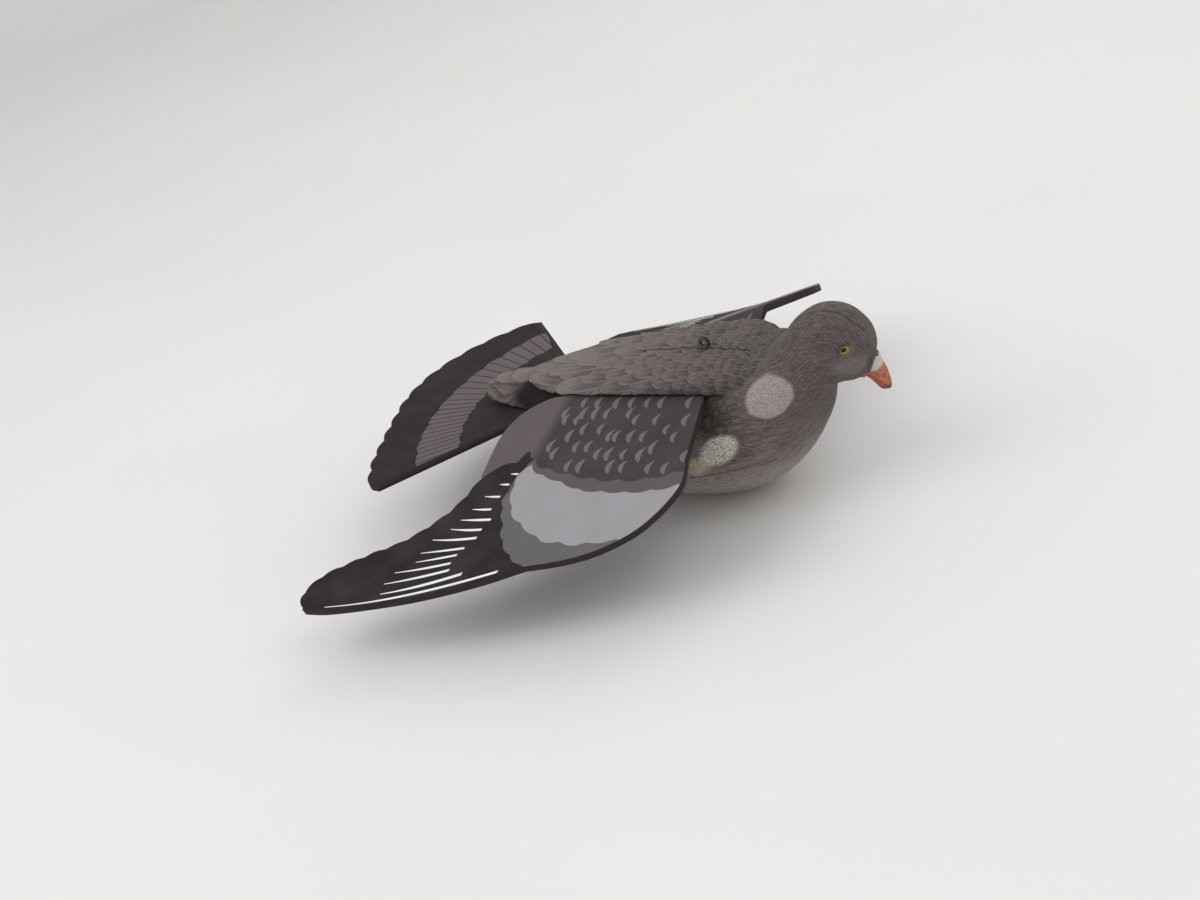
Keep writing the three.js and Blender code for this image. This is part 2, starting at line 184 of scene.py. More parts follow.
class Nodes:
    # Short words for building a node tree. A value is a number, a socket or a node.
    def __init__(self, tree):
        self.tree = tree

    def add(self, kind, inputs=None, **settings):
        node = self.tree.nodes.new(kind)
        for key, value in settings.items():
            setattr(node, key, value)
        for key, value in (inputs or {}).items():
            self.feed(node.inputs[key], value)
        return node

    def feed(self, socket, value):
        if isinstance(value, bpy.types.NodeSocket):
            self.tree.links.new(value, socket)
        elif isinstance(value, bpy.types.Node):
            self.tree.links.new(value.outputs[0], socket)
        else:
            socket.default_value = value

    def math(self, operation, a, b=0.0):
        return self.add("ShaderNodeMath", {0: a, 1: b}, operation=operation).outputs[0]

    def times(self, *values):
        return reduce(lambda a, b: self.math("MULTIPLY", a, b), values)

    def plus(self, *values):
        return reduce(lambda a, b: self.math("ADD", a, b), values)

    def minus(self, a, b):
        return self.math("SUBTRACT", a, b)

    def over(self, a, b):
        return self.math("DIVIDE", a, b)

    def absolute(self, value):
        return self.math("ABSOLUTE", value)

    def most(self, a, b):
        return self.math("MAXIMUM", a, b)

    def ramp(self, value, low, high, fromValue=0.0, toValue=1.0):
        # A soft step from fromValue to toValue as value goes from low to high.
        inputs = {"Value": value, "From Min": low, "From Max": high, "To Min": fromValue, "To Max": toValue}
        return self.add("ShaderNodeMapRange", inputs, interpolation_type="SMOOTHSTEP").outputs[0]

    def mix(self, factor, a, b):
        # Colours are given as they look on screen, from 0 to 255.
        node = self.add("ShaderNodeMix", data_type="RGBA")
        for index, value in ((0, factor), (6, a), (7, b)):
            self.feed(node.inputs[index], linear(value) if isinstance(value, tuple) else value)
        return node.outputs[2]

    def lay(self, paint, colour, *masks):
        # A colour over the paint, as far as all the masks together let it show.
        return self.mix(self.times(*masks), paint, colour)

    def layers(self, paint, paints, coats):
        # Named paints over each other, each with its masks.
        for name, *masks in coats:
            paint = self.lay(paint, paints[name], *masks)
        return paint

    def attribute(self, name, output="Fac"):
        return self.add("ShaderNodeAttribute", attribute_name=name).outputs[output]

    def noise(self, place, scale, detail=3.0, roughness=0.5):
        inputs = {"Vector": place, "Scale": scale, "Detail": detail, "Roughness": roughness}
        return self.add("ShaderNodeTexNoise", inputs).outputs["Fac"]

    def objectPlace(self):
        return self.add("ShaderNodeTexCoord").outputs["Object"]

    def away(self, place, centre, sizes, tilt=0.0):
        # Distance from a centre in units of the sizes, in millimetres, tilted about the Y axis.
        inputs = {"Vector": place, "Rotation": (0.0, tilt, 0.0)}
        inputs["Location"] = tuple(value * mm for value in centre)
        inputs["Scale"] = tuple(value * mm for value in sizes)
        return self.length(self.add("ShaderNodeMapping", inputs, vector_type="TEXTURE").outputs[0])

    def length(self, place):
        return self.add("ShaderNodeVectorMath", {0: place}, operation="LENGTH").outputs["Value"]

    def parts(self, place):
        return self.add("ShaderNodeSeparateXYZ", {0: place}).outputs

    def vector(self, x, y, z=0.0):
        return self.add("ShaderNodeCombineXYZ", {0: x, 1: y, 2: z}).outputs[0]

    def shifted(self, place, by):
        return self.add("ShaderNodeVectorMath", {0: place, 1: by}, operation="ADD").outputs[0]

    def finish(self, colour, roughness, height, relief, sheen=0.0, gloss=0.25):
        bump = self.add("ShaderNodeBump", {"Height": height, "Distance": relief * mm, "Strength": 1.0})
        inputs = {"Base Color": colour, "Roughness": roughness, "Normal": bump.outputs[0]}
        shader = self.add("ShaderNodeBsdfPrincipled", inputs)
        shader.inputs["Specular IOR Level"].default_value = gloss
        shader.inputs["Sheen Weight"].default_value = sheen
        self.add("ShaderNodeOutputMaterial", {"Surface": shader.outputs[0]})


def newMaterial(name):
    material = bpy.data.materials.new(name)
    material.use_nodes = True
    material.node_tree.nodes.clear()
    return material, Nodes(material.node_tree)


# Body

bodyMake = {
    "length": 290.0,
    # x and z of the back, x and z of the belly, half the width, squareness above and below
    "trunk": [
        (-37.0, 27.0, -37.4, 24.8, 1.2, 2.0, 2.0),
        (-31.0, 28.0, -33.2, 18.0, 5.2, 2.0, 2.0),
        (-20.5, 29.6, -25.0, 8.0, 10.6, 2.1, 1.9),
        (-9.0, 31.8, -13.4, 1.6, 14.5, 2.2, 1.8),
        (2.0, 32.8, -1.4, -0.6, 16.4, 2.3, 1.7),
        (11.5, 33.4, 9.8, -0.7, 17.0, 2.5, 1.65),
        (18.8, 33.7, 21.0, 2.6, 16.9, 3.0, 1.7),
        (23.6, 34.0, 29.8, 8.9, 15.8, 3.3, 1.85),
        (27.4, 35.2, 35.9, 16.8, 13.6, 2.6, 2.0),
        (30.6, 37.4, 38.2, 22.6, 10.4, 2.3, 2.0),
        (34.2, 41.0, 39.6, 25.6, 8.6, 2.0, 2.0),
        (39.4, 43.6, 42.8, 27.0, 8.2, 2.0, 2.0),
        (44.7, 43.1, 45.6, 27.4, 7.3, 2.0, 2.0),
        (48.7, 40.1, 47.9, 28.7, 5.1, 2.0, 2.0),
        (50.2, 36.7, 49.6, 32.0, 2.4, 2.0, 2.0),
        (50.3, 34.9, 50.2, 33.9, 0.4, 2.0, 2.0),
    ],
    # x, top, ledge height, half the width, roundness
    "shelf": [
        (-34.6, 30.3, 29.6, 1.5, 1.0),
        (-33.2, 30.6, 29.6, 4.6, 1.0),
        (-29.8, 31.0, 29.8, 7.4, 1.0),
        (-25.4, 31.5, 30.1, 9.9, 1.0),
        (-20.0, 32.1, 30.6, 12.0, 1.0),
        (-10.0, 33.2, 31.1, 13.3, 0.85),
        (4.0, 34.3, 31.6, 14.3, 0.6),
        (13.0, 34.5, 31.8, 14.6, 0.45),
        (18.2, 34.4, 31.7, 14.6, 0.45),
        (22.4, 33.9, 31.2, 13.4, 0.5),
        (25.6, 32.8, 30.5, 9.6, 0.6),
        (27.6, 31.4, 30.0, 4.0, 0.75),
    ],
    "stub": [
        (-48.9, 26.3, 25.5, 0.9, 1.1),
        (-48.2, 27.1, 25.0, 2.4, 1.1),
        (-46.0, 28.0, 24.6, 3.8, 1.1),
        (-41.5, 29.1, 24.0, 5.1, 1.1),
        (-35.5, 30.0, 23.4, 6.2, 1.1),
        (-28.0, 30.8, 23.2, 7.4, 1.1),
        (-20.0, 31.0, 23.2, 8.2, 1.1),
    ],
    # x and z of the middle, half the width, half the height
    "bill": [
        (47.0, 30.3, 2.7, 3.3),
        (48.4, 29.7, 2.2, 2.9),
        (49.4, 28.3, 1.7, 2.35),
        (50.1, 26.7, 1.3, 1.9),
        (50.6, 25.3, 1.0, 1.5),
        (50.9, 24.5, 0.6, 1.0),
        (50.95, 24.2, 0.2, 0.35),
    ],
    "cere": (49.5, 0.0, 31.5),
    "cereHalf": (1.2, 1.8, 1.7),
    "eye": (44.9, 4.4, 36.1),
    "eyeBall": 8.0,
    "lugFoot": (11.6, 0.0, 34.45),
    "lugRadius": 2.9,
    "lugWire": 1.3,
    "lugFootHeight": 1.4,
    "lugFootRadius": 2.4,
    "slotMiddle": (-1.9, 13.05, 31.0),
    "slotPlay": 0.8,
    "slotToe": 3.0,
    "slotPitch": 1.6,
    "slotMouth": 6.4,
    # points along and around the trunk, the folded wings and the stub before they are melted
    "trunkGrid": (260, 180),
    "shelfGrid": (160, 60),
    "stubGrid": (90, 40),
    "grain": 1.1,  # size of the moulding's fine facets
    "unevenness": 0.22,
    "unevenSize": 11,
    "ridges": 0.6,  # height of the soft feather ridges on breast and flanks
    "ridgeSize": (34, 6.5),  # along the feather flow and across it
    "groove": 0.7,  # depth of the groove in front of each wing
    "crease": 0.9,  # height of the crease under the pale flank patch
    "creaseLine": (32.0, 0.21),  # its height at x 0, and its rise along x
    "creaseShade": 3.1,  # how far below the crease its dark line runs
}

unit = bodyMake["length"] / 100

foamMake = {
    "thickness": 5.0,
    "wingReach": 184.0,
    "tabFront": 18.0,
    "tabRear": 7.0,
    "bend": 10.0,  # width of the strip that bends down beside the body
    "softRoot": 0.09,  # share of the reach over which the twist sets in
    "handStart": 0.6,  # share of the reach where the tip begins to lift
    "rootChord": 0.578,
    "notch": 1.5,
    "longFeathers": 10,
    "right": {"droop": 14.0, "twist": 0.0, "tipLift": 0.0},
    "left": {"droop": 19.0, "twist": 13.0, "tipLift": 18.0},
    # in shares of the reach, from root to tip
    "leadingEdge": [
        (0.296, 0.0),
        (0.343, 0.25),
        (0.378, 0.4),
        (0.322, 0.56),
        (0.22, 0.66),
        (0.1, 0.718),
        (-0.045, 0.757),
    ],
    "handEdge": [(-0.05, 0.76), (-0.21, 0.84), (-0.43, 0.92), (-0.71, 0.987), (-0.83, 1.0)],
    "innerFeatherEdge": [(-0.289, 0.0), (-0.34, 0.02), (-0.415, 0.09), (-0.447, 0.2), (-0.425, 0.39)],
    "longFeatherEdge": [
        (-0.425, 0.39),
        (-0.47, 0.54),
        (-0.58, 0.67),
        (-0.72, 0.755),
        (-0.85, 0.85),
        (-0.887, 0.94),
        (-0.85, 1.0),
    ],
    "edgeRound": 0.45,
    "grain": 1.0,
}


def trunkRings(steps, sides):
    rows = through(bodyMake["trunk"], np.linspace(0, 1, steps + 1))
    back = np.stack([rows[:, 0], rows[:, 0] * 0, rows[:, 1]], -1) * unit
    belly = np.stack([rows[:, 2], rows[:, 2] * 0, rows[:, 3]], -1) * unit
    turn = 2 * np.pi * np.arange(sides) / sides
    power = np.where(np.cos(turn)[None] > 0, 2 / rows[:, 5, None], 2 / rows[:, 6, None])
    upward = signedPower(np.cos(turn)[None], power)
    rings = ((back + belly) / 2)[:, None] + ((back - belly) / 2)[:, None] * upward[..., None]
    rings[..., 1] = -rows[:, 4, None] * unit * signedPower(np.sin(turn)[None], power)
    return rings


def vaultRings(rows, steps, sides):
    rows = through(rows, np.linspace(0, 1, steps + 1))
    power = rows[:, 4, None]
    rows = rows * unit
    turn = np.pi * np.arange(sides + 1)[None] / sides
    rise = np.abs(np.sin(turn)) ** power
    across = signedPower(np.cos(turn), power)
    under = -1 + 2 * np.arange(1, sides) / sides
    rings = np.empty((steps + 1, 2 * sides, 3))
    rings[..., 0] = rows[:, 0, None]
    rings[:, : sides + 1, 1] = rows[:, 3, None] * across
    rings[:, sides + 1 :, 1] = rows[:, 3, None] * under
    rings[:, : sides + 1, 2] = rows[:, 2, None] + (rows[:, 1] - rows[:, 2])[:, None] * rise
    rings[:, sides + 1 :, 2] = rows[:, 2, None]
    return rings


def ballOf(centre, halves, rings=24, sides=36):
    latitude = np.linspace(0.02, np.pi - 0.02, rings)
    turn = 2 * np.pi * np.arange(sides) / sides
    points = np.empty((rings, sides, 3))
    points[..., 0] = centre[0] + halves[0] * np.sin(latitude)[:, None] * np.cos(turn)
    points[..., 1] = centre[1] + halves[1] * np.sin(latitude)[:, None] * np.sin(turn)
    points[..., 2] = centre[2] + halves[2] * np.cos(latitude)[:, None]
    return closedTube(points)


def slotPlacement(side):
    middle = Vector(bodyMake["slotMiddle"]) * unit
    turn = Matrix.Rotation(side * bodyMake["slotToe"] * degree, 4, "Z")
    pitch = Matrix.Rotation(-bodyMake["slotPitch"] * degree, 4, "Y")
    return np.array(Matrix.Translation((middle.x, side * middle.y, middle.z)) @ turn @ pitch)


def placed(points, place):
    return points @ place[:3, :3].T + place[:3, 3]


boxFaces = [(0, 1, 2, 3), (7, 6, 5, 4), (0, 4, 5, 1), (1, 5, 6, 2), (2, 6, 7, 3), (3, 7, 4, 0)]


def prism(corners, low, high):
    points = np.array([(x, y, z) for z in (low, high) for x, y in corners], float)
    return points, outward(points, boxFaces)


def tabCorners(air):
    half = foamMake["rootChord"] * foamMake["wingReach"] / 2 - bodyMake["slotPlay"] + air
    return (-half, -foamMake["tabRear"] - air), (half, -foamMake["tabFront"] - air)


def wingSlot(side):
    play, mouth = bodyMake["slotPlay"], bodyMake["slotMouth"]
    rear, front = tabCorners(play)
    corners = [(x, side * y) for x, y in (rear, front, (front[0], mouth), (rear[0], mouth))]
    points, faces = prism(corners, -foamMake["thickness"] - play, play)
    points = placed(points, slotPlacement(side))
    return points, outward(points, faces)


tailMake = {
    "apex": (-18.8, 1.7, 22.8),
    "radius": 165.0,
    "halfAngle": 44.4,
    "setback": 12.0,
    "tabHalf": 20.0,
    "tabRoot": (-27.0, -40.0),
    # how far the rim is from the apex, in shares of the radius, from the bird's left to its right
    "rim": (0.973, 1.0, 1.02, 1.025, 1.007, 0.977, 0.97, 0.99, 1.012),
    "swing": 0.8,
    "corner": 6.0,
    "scallop": 2.2,
    "feathers": 12,
}


def tailSlot():
    apex = np.array(tailMake["apex"]) * unit
    play, half = bodyMake["slotPlay"], bodyMake["length"] / 4
    front = apex[0] - tailMake["setback"] + play
    low = apex[2] - foamMake["thickness"] - play
    corners = [(front - 2 * half, -half), (front, -half), (front, half), (front - 2 * half, half)]
    return prism(corners, low, apex[2] + play)


def cutBy(piece, solids):
    for number, (points, faces) in enumerate(solids):
        cutter = pieceOf("cutter%d" % number, meshOf("cutter%d" % number, points, faces, False))
        cut = piece.modifiers.new("cut%d" % number, "BOOLEAN")
        cut.operation = "DIFFERENCE"
        cut.solver = "EXACT"
        cut.object = cutter
        cutter.hide_render = True
    mesh = evaluated(piece)
    for modifier in list(piece.modifiers):
        cutter = modifier.object
        piece.modifiers.remove(modifier)
        bpy.data.objects.remove(cutter)
    piece.data = mesh


# The trunk, the folded wings and the tail stub melted into one skin


def meltedSkin(rings):
    shells = [
        closedTube(rings),
        closedTube(vaultRings(bodyMake["shelf"], *bodyMake["shelfGrid"])),
        closedTube(vaultRings(bodyMake["stub"], *bodyMake["stubGrid"])),
    ]
    for side in (-1, 1):
        eyeCentre = np.array(bodyMake["eye"]) * (1, side, 1) * unit
        shells.append(ballOf(eyeCentre, [bodyMake["eyeBall"]] * 3))
    piece = pieceOf("decoyBody", meshOf("decoyBody", *joined(shells)))
    melt = piece.modifiers.new("melt", "REMESH")
    melt.mode = "VOXEL"
    melt.voxel_size = bodyMake["grain"] * mm
    even = piece.modifiers.new("even", "SMOOTH")
    even.factor = 0.5
    even.iterations = 3
    skin = evaluated(piece)
    piece.modifiers.clear()
    piece.data = skin
    print("body skin:", len(skin.vertices), "points")
    return piece, skin


def flowOver(rings, points):
    # How far along the feather flow each point lies, and how far round from the back.
    count, sides = rings.shape[:2]
    half = sides // 2
    tree = KDTree(count * sides)
    arcs = np.zeros((count, sides))
    for i, ring in enumerate(rings):
        for j, point in enumerate(ring):
            tree.insert(point, i * sides + j)
        arcs[i, : half + 1] = runOf(ring[: half + 1])
        arcs[i, half:] = runOf(np.vstack([ring[:1], ring[: half - 1 : -1]]))[:0:-1]
    tree.balance()
    nearest = np.array([tree.find(point)[1] for point in points])
    return runOf(rings.mean(1))[nearest // sides], arcs.reshape(-1)[nearest]


def soften(mesh, values, rounds=6):
    # Averages a value over neighbouring points, so the nearest ring's steps don't show.
    edges = np.empty(len(mesh.edges) * 2, int)
    mesh.edges.foreach_get("vertices", edges)
    a, b = edges.reshape(-1, 2).T
    count = np.bincount(a, minlength=len(values)) + np.bincount(b, minlength=len(values))
    for _ in range(rounds):
        total = np.bincount(a, values[b], len(values)) + np.bincount(b, values[a], len(values))
        values = 0.3 * values + 0.7 * total / np.maximum(count, 1)
    return values


def relief(points, along, around):
    # How far the moulding stands out: unevenness, feather ridges, grooves and creases.
    x, y, z = points.T
    uneven = np.array([noise.noise(Vector(point) / bodyMake["unevenSize"]) for point in points])
    long, wide = bodyMake["ridgeSize"]
    flow = zip(along / long, around / wide, np.sign(y) * 3)
    ridge = np.array([noise.noise(Vector(place)) for place in flow])
    breast = smoothstep(x, -60, 20) * (1 - smoothstep(x, 96, 128))
    breast = breast * smoothstep(np.abs(y) + (80 - z) * 0.6, 22, 40)
    groove = np.exp(-(((x - 44 - (z - 75) * 0.35) / 3.5) ** 2))
    groove = groove * smoothstep(z, 58, 66) * (1 - smoothstep(z, 84, 90)) * (np.abs(y) > 20)
    start, slope = bodyMake["creaseLine"]
    crease = np.exp(-(((z - start - x * slope) / 2.4) ** 2))
    crease = crease * smoothstep(x, 24, 34) * (1 - smoothstep(x, 80, 94)) * (np.abs(y) > 15)
    height = bodyMake["unevenness"] * uneven + bodyMake["ridges"] * ridge * breast
    return height - bodyMake["groove"] * groove + bodyMake["crease"] * crease


def makeSkin():
    rings = trunkRings(*bodyMake["trunkGrid"])
    piece, skin = meltedSkin(rings)
    points = coordinates(skin)
    along, around = (soften(skin, values) for values in flowOver(rings, points))
    normals = np.empty(len(points) * 3)
    skin.vertices.foreach_get("normal", normals)
    height = relief(points, along, around)
    setCoordinates(skin, points + normals.reshape(-1, 3) * height[:, None])
    addAttribute(skin, "alongFlow", along)
    addAttribute(skin, "aroundFlow", around)
    return piece, skin


body, skin = makeSkin()
floorCut = prism([(-200, -200), (200, -200), (200, 200), (-200, 200)], -60, 0)
cutBy(body, [wingSlot(-1), wingSlot(1), tailSlot(), floorCut])
print("body cut:", len(body.data.polygons), "faces")

# Feathers raised on the back

featherMake = {
    "seed": 7,
    "rowStart": -97.0,
    "rowEnd": 74.0,
    # x of a feather's tip, distance to the next row, width and length there
    "sizes": [
        (-97, 18, 15, 42),
        (-60, 17, 14.5, 38),
        (-30, 14, 12.5, 30),
        (0, 10.5, 11, 20),
        (30, 8, 9, 14),
        (55, 6, 7.5, 10),
        (74, 5, 6.5, 8),
    ],
    "rise": 1.1,
    "rim": 0.55,
    "uneven": 0.15,
    # tip x, width, length and rise over the tail stub
    "stub": [(-141.2, 9, 20, 1.0), (-131.0, 21, 44, 1.5), (-116.8, 25.5, 44, 1.6)],
}


def featherTongue():
    # One tongue, its tip at the origin and its root toward +X, one unit long and one wide.
    shares = [0.0, 0.3, 0.55, 0.75, 0.88, 0.96, 1.0, 1.0]
    across = [-1, -0.97, -0.72, -0.25, 0.25, 0.72, 0.97, 1]
    points, uv, rise = [], [], []
    for row, v in enumerate(shares):
        last = row == len(shares) - 1
        tipShare = max(0.0, (v - 0.5) / 0.5)
        half = max(0.02, 0.5 * math.sqrt(1 - tipShare**2.4))
        for column, u in enumerate(across):
            edge = last or column in (0, len(across) - 1)
            rim = featherMake["rim"] * (abs(u) ** 3 * 0.6 + max(0.0, v - 0.8) * 3)
            rise.append(-0.5 if edge else (v - 0.12) * featherMake["rise"] + rim)
            points.append((-0.01 if last else 1 - v, u * half * (1 if edge else 0.98), 0.0))
            uv.append((0.5 + u * half, v))
    mesh = bpy.data.meshes.new("featherTongue")
    mesh.from_pydata(points, [], gridFaces(len(shares), len(across)))
    mesh.update()
    if mesh.polygons[0].normal.z < 0:
        mesh.flip_normals()
    mesh.shade_smooth()
    layer = mesh.uv_layers.new(name="featherMap")
    for loop in mesh.loops:
        layer.data[loop.index].uv = uv[loop.vertex_index]
    addAttribute(mesh, "rise", rise)
    return mesh


def vaultArc(x):
    # Points down one side of the folded wings' vault at one x, with their run from the mid line.
    rows = through(bodyMake["shelf"], np.linspace(0, 1, 200)) * (unit, unit, unit, unit, 1)
    top, ledge, half, power = (np.interp(x, rows[:, 0], rows[:, k]) for k in (1, 2, 3, 4))
    turn = np.linspace(np.pi / 2, 0, 60)
    y = half * signedPower(np.cos(turn), power)
    z = ledge + (top - ledge) * np.sin(turn) ** power
    return y, z, runOf(np.stack([y, z], -1))


def featherPlaces():
    # Each feather's tip, its lean aside, length, width and rise, from the tail forward.
    chance = np.random.default_rng(featherMake["seed"])
    sizes = np.array(featherMake["sizes"], float)
    for x, width, length, heap in featherMake["stub"]:
        yield (x, 0, 80), 0.0, length, width, heap
    x, row = featherMake["rowStart"], 0
    while x < featherMake["rowEnd"]:
        pitch, width, length = (np.interp(x, sizes[:, 0], sizes[:, k]) for k in (1, 2, 3))
        y, z, run = vaultArc(x)
        reach = run[-1] * (1.0 if x < 60 else 0.8)
        count = max(1, int(reach / width))
        for number in range(-count - 1, count + 2):
            at = (number + 0.5 * (row % 2)) * reach / (count + 0.35)
            if abs(at) > reach:
                continue
            jitter = np.clip(chance.normal(0, featherMake["uneven"], 3), -0.3, 0.3)
            side, off = math.copysign(1, at), abs(at)
            tipX = x + pitch * (jitter[1] + 0.25 * math.sin(at / 9.0))
            tip = (tipX, side * np.interp(off, run, y), np.interp(off, run, z))
            aside = -side * 0.12 * min(1.0, off / 20) * (1 if x < 0 else 0.4)
            tall = length * (1.5 if x < -35 and off < 12 else 1.0) * (1 + jitter[0])
            heap = (1.0 if x < 0 else 0.85) * (1 + 1.6 * jitter[2])
            yield tip, aside + jitter[2] * 0.4, tall, width * (1.14 + jitter[0]), heap
        x += pitch
        row += 1


def featherGuides(skin):
    # One point on the skin for each feather, with its turn and size.
    points = [Vector(point) for point in coordinates(skin)]
    tree = BVHTree.FromPolygons(points, [tuple(face.vertices) for face in skin.polygons])
    places, turns, sizes, heaps = [], [], [], []
    for tip, aside, length, width, heap in featherPlaces():
        spot, normal, _, _ = tree.find_nearest(Vector(tip))
        ahead = Vector((1, aside, 0))
        ahead = (ahead - ahead.dot(normal) * normal).normalized()
        turn = Matrix((ahead, normal.cross(ahead), normal)).transposed().to_euler()
        places.append(spot)
        turns.append(tuple(turn))
        sizes.append((length * mm, width * mm, mm))
        heaps.append(heap * mm)
    mesh = meshOf("featherGuides", places, [], False)
    addAttribute(mesh, "turn", turns, "FLOAT_VECTOR")
    addAttribute(mesh, "size", sizes, "FLOAT_VECTOR")
    addAttribute(mesh, "heap", heaps)
    return pieceOf("featherGuides", mesh)


def newSockets(tree, takes, gives):
    # A node group's named inputs, whose identifiers come back, and its outputs.
    rows = [(name, kind, "INPUT") for name, kind in takes.items()]
    rows += [(name, kind, "OUTPUT") for name, kind in gives.items()]
    made = [
        tree.interface.new_socket(name, in_out=side, socket_type="NodeSocket" + kind)
        for name, kind, side in rows
    ]
    return {name: socket.identifier for name, socket in zip(takes, made)}


def featherTree():
    # Sets a tongue on every guide, bends it onto the skin and lifts it by its own rise.
    tree = bpy.data.node_groups.new("laidFeathers", "GeometryNodeTree")
    takes = {"Geometry": "Geometry", "Skin": "Object", "Feather": "Object"}
    takes.update({"Height": "Float", "Seed": "Int", "Finish": "Material"})
    sockets = newSockets(tree, takes, {"Geometry": "Geometry"})
    make = Nodes(tree)
    given = make.add("NodeGroupInput").outputs
    skinInfo = make.add("GeometryNodeObjectInfo", {"Object": given["Skin"]}).outputs["Geometry"]
    tongue = make.add("GeometryNodeObjectInfo", {"Object": given["Feather"]}).outputs["Geometry"]
    here = make.add("GeometryNodeInputPosition").outputs[0]
    facing = make.add("GeometryNodeInputNormal").outputs[0]

    def named(name, kind="FLOAT"):
        node = make.add("GeometryNodeInputNamedAttribute", {"Name": name}, data_type=kind)
        return node.outputs["Attribute"]

    def onSkin(value):
        inputs = {"Mesh": skinInfo, "Value": value, "Sample Position": here}
        node = make.add("GeometryNodeSampleNearestSurface", inputs, data_type="FLOAT_VECTOR")
        return node.outputs["Value"]

    inputs = {"Min": (-0.05, -0.05, -0.06), "Max": (0.05, 0.05, 0.06), "Seed": given["Seed"]}
    shake = make.add("FunctionNodeRandomValue", inputs, data_type="FLOAT_VECTOR").outputs[0]
    inputs = {"Points": given["Geometry"], "Instance": tongue}
    inputs["Rotation"] = make.shifted(named("turn", "FLOAT_VECTOR"), shake)
    inputs["Scale"] = named("size", "FLOAT_VECTOR")
    laid = make.add("GeometryNodeInstanceOnPoints", inputs).outputs["Instances"]
    real = make.add("GeometryNodeRealizeInstances", {"Geometry": laid}).outputs["Geometry"]
    high = make.times(named("rise"), named("heap"), given["Height"])
    lifted = make.add("ShaderNodeVectorMath", {0: onSkin(facing), "Scale": high}, operation="SCALE")
    target = make.shifted(onSkin(here), lifted.outputs[0])
    moved = make.add("GeometryNodeSetPosition", {"Geometry": real, "Position": target}).outputs[0]
    dressed = make.add("GeometryNodeSetMaterial", {"Geometry": moved, "Material": given["Finish"]})
    make.add("NodeGroupOutput", {"Geometry": dressed.outputs[0]})
    return tree, sockets


def laidFeathers(skin, paint):
    guides = featherGuides(skin)
    tongue = pieceOf("featherTongue", featherTongue())
    skinCopy = pieceOf("skinCopy", skin)
    tree, sockets = featherTree()
    lay = guides.modifiers.new("lay", "NODES")
    lay.node_group = tree
    values = {"Skin": skinCopy, "Feather": tongue, "Height": 1.0, "Seed": 3, "Finish": paint}
    for name, value in values.items():
        lay[sockets[name]] = value
    mesh = evaluated(guides)
    guides.modifiers.clear()
    for unused in (guides, tongue, skinCopy):
        bpy.data.objects.remove(unused)
    addAttribute(mesh, "feather", np.ones(len(mesh.vertices)))
    print("feathers:", len(mesh.polygons), "faces")
    return pieceOf("feathers", mesh)


# Paint of the body

bodyPaints = {
    "plain": (106, 96, 94),
    "light": (140, 130, 126),
    "dark": (60, 52, 50),
    "belly": (178, 168, 163),
    "patch": (165, 157, 153),
    "patchWhite": (214, 208, 196),
    "patchYellow": (184, 174, 150),
    "shoulder": (40, 35, 31),
    "hollowShade": (14, 15, 13),
    "eyeYellow": (160, 131, 76),
    "eyeBrown": (44, 26, 14),
    "marks": (34, 28, 24),
}

# Spots painted alike on both sides: x and z of the middle, half the length and the height, tilt,
# where the paint begins to thin and where it ends in shares of the size, roughness of its rim
bodySpots = {
    "shoulder": (51, 77, 18, 20, 0.0, 0.2, 1.25, 0.8),
    "hollowShade": (-88, 76, 30, 13, 0.0, 0.6, 1.05, 0.0),
    "neck": (88.5, 86, 13.8, 11.6, 0.0, 0.86, 1.05, 0.22),
    "flankDim": (34.5, 44.7, 15, 8.6, -0.55, 0.4, 1.05, 0.4),
    "flankBright": (52.5, 56.5, 17, 9.6, -0.55, 0.7, 1.05, 0.3),
    "cheek": (136, 95, 15, 8, 0.0, 0.3, 1.1, 0.0),
    "halo": (136.0, 105.9, 4.2, 3.6, 0.0, 0.6, 1.1, 0.0),
    "lid": (134.2, 107.3, 3.9, 3.5, 0.0, 0.75, 1.1, 0.0),
    "iris": (135.0, 106.6, 2.4, 2.1, 0.0, 0.75, 1.1, 0.0),
    "pupil": (134.6, 106.9, 1.6, 1.4, 0.0, 0.7, 1.2, 0.0),
}


def bodyFields(make):
    # What the body's coats are worked out from.
    on = SimpleNamespace(place=make.objectPlace(), feather=make.attribute("feather"))
    on.x, on.y, on.z = make.parts(on.place)[0:3]
    on.sideways = make.absolute(on.y)
    on.along, on.around = make.attribute("alongFlow"), make.attribute("aroundFlow")
    on.bare = make.minus(1.0, on.feather)
    on.broad = make.noise(on.place, 28.0, 4.0)
    on.wander = make.noise(on.place, 90.0, 2.0)
    on.speckle = make.noise(on.place, 860.0, 2.5, 0.6)
    strokePlace = make.vector(make.over(on.along, 4.6), make.over(on.around, 0.85), make.times(on.y, 12.0))
    bend = make.vector(0.0, make.times(on.wander, 3.0))
    on.strokes = make.noise(make.shifted(strokePlace, bend), 1.0, 2.5, 0.55)
    return on


def featherFields(make, on):
    # A feather's rim with a painted highlight, its shaft, its root with painted shadow where the next
    # feather's tip lies over it, and barbs that slant from the shaft to the edge.
    u, v = make.parts(make.add("ShaderNodeUVMap", uv_map="featherMap").outputs[0])[0:2]
    offShaft = make.absolute(make.minus(u, 0.5))
    barbRun = make.plus(make.times(v, 19.0), make.times(offShaft, -16.0))
    tipShare = make.most(make.over(make.minus(v, 0.5), 0.5), 0.0)
    tapered = make.most(make.minus(1.0, make.math("POWER", tipShare, 2.4)), 0.0)
    fromRim = make.minus(make.math("SQRT", tapered), make.times(offShaft, 2.0))
    on.barbs = make.math("SINE", make.times(barbRun, 2 * math.pi))
    # Painted highlight along the feather's raised rim
    on.rim = make.times(make.ramp(fromRim, 0.26, 0.06), on.feather)
    on.shaft = make.times(make.ramp(offShaft, 0.035, 0.015), on.feather)
    # Painted shadow at the root, under the tip of the feather that overlaps it
    on.root = make.times(make.ramp(v, 0.8, 0.4), on.feather)


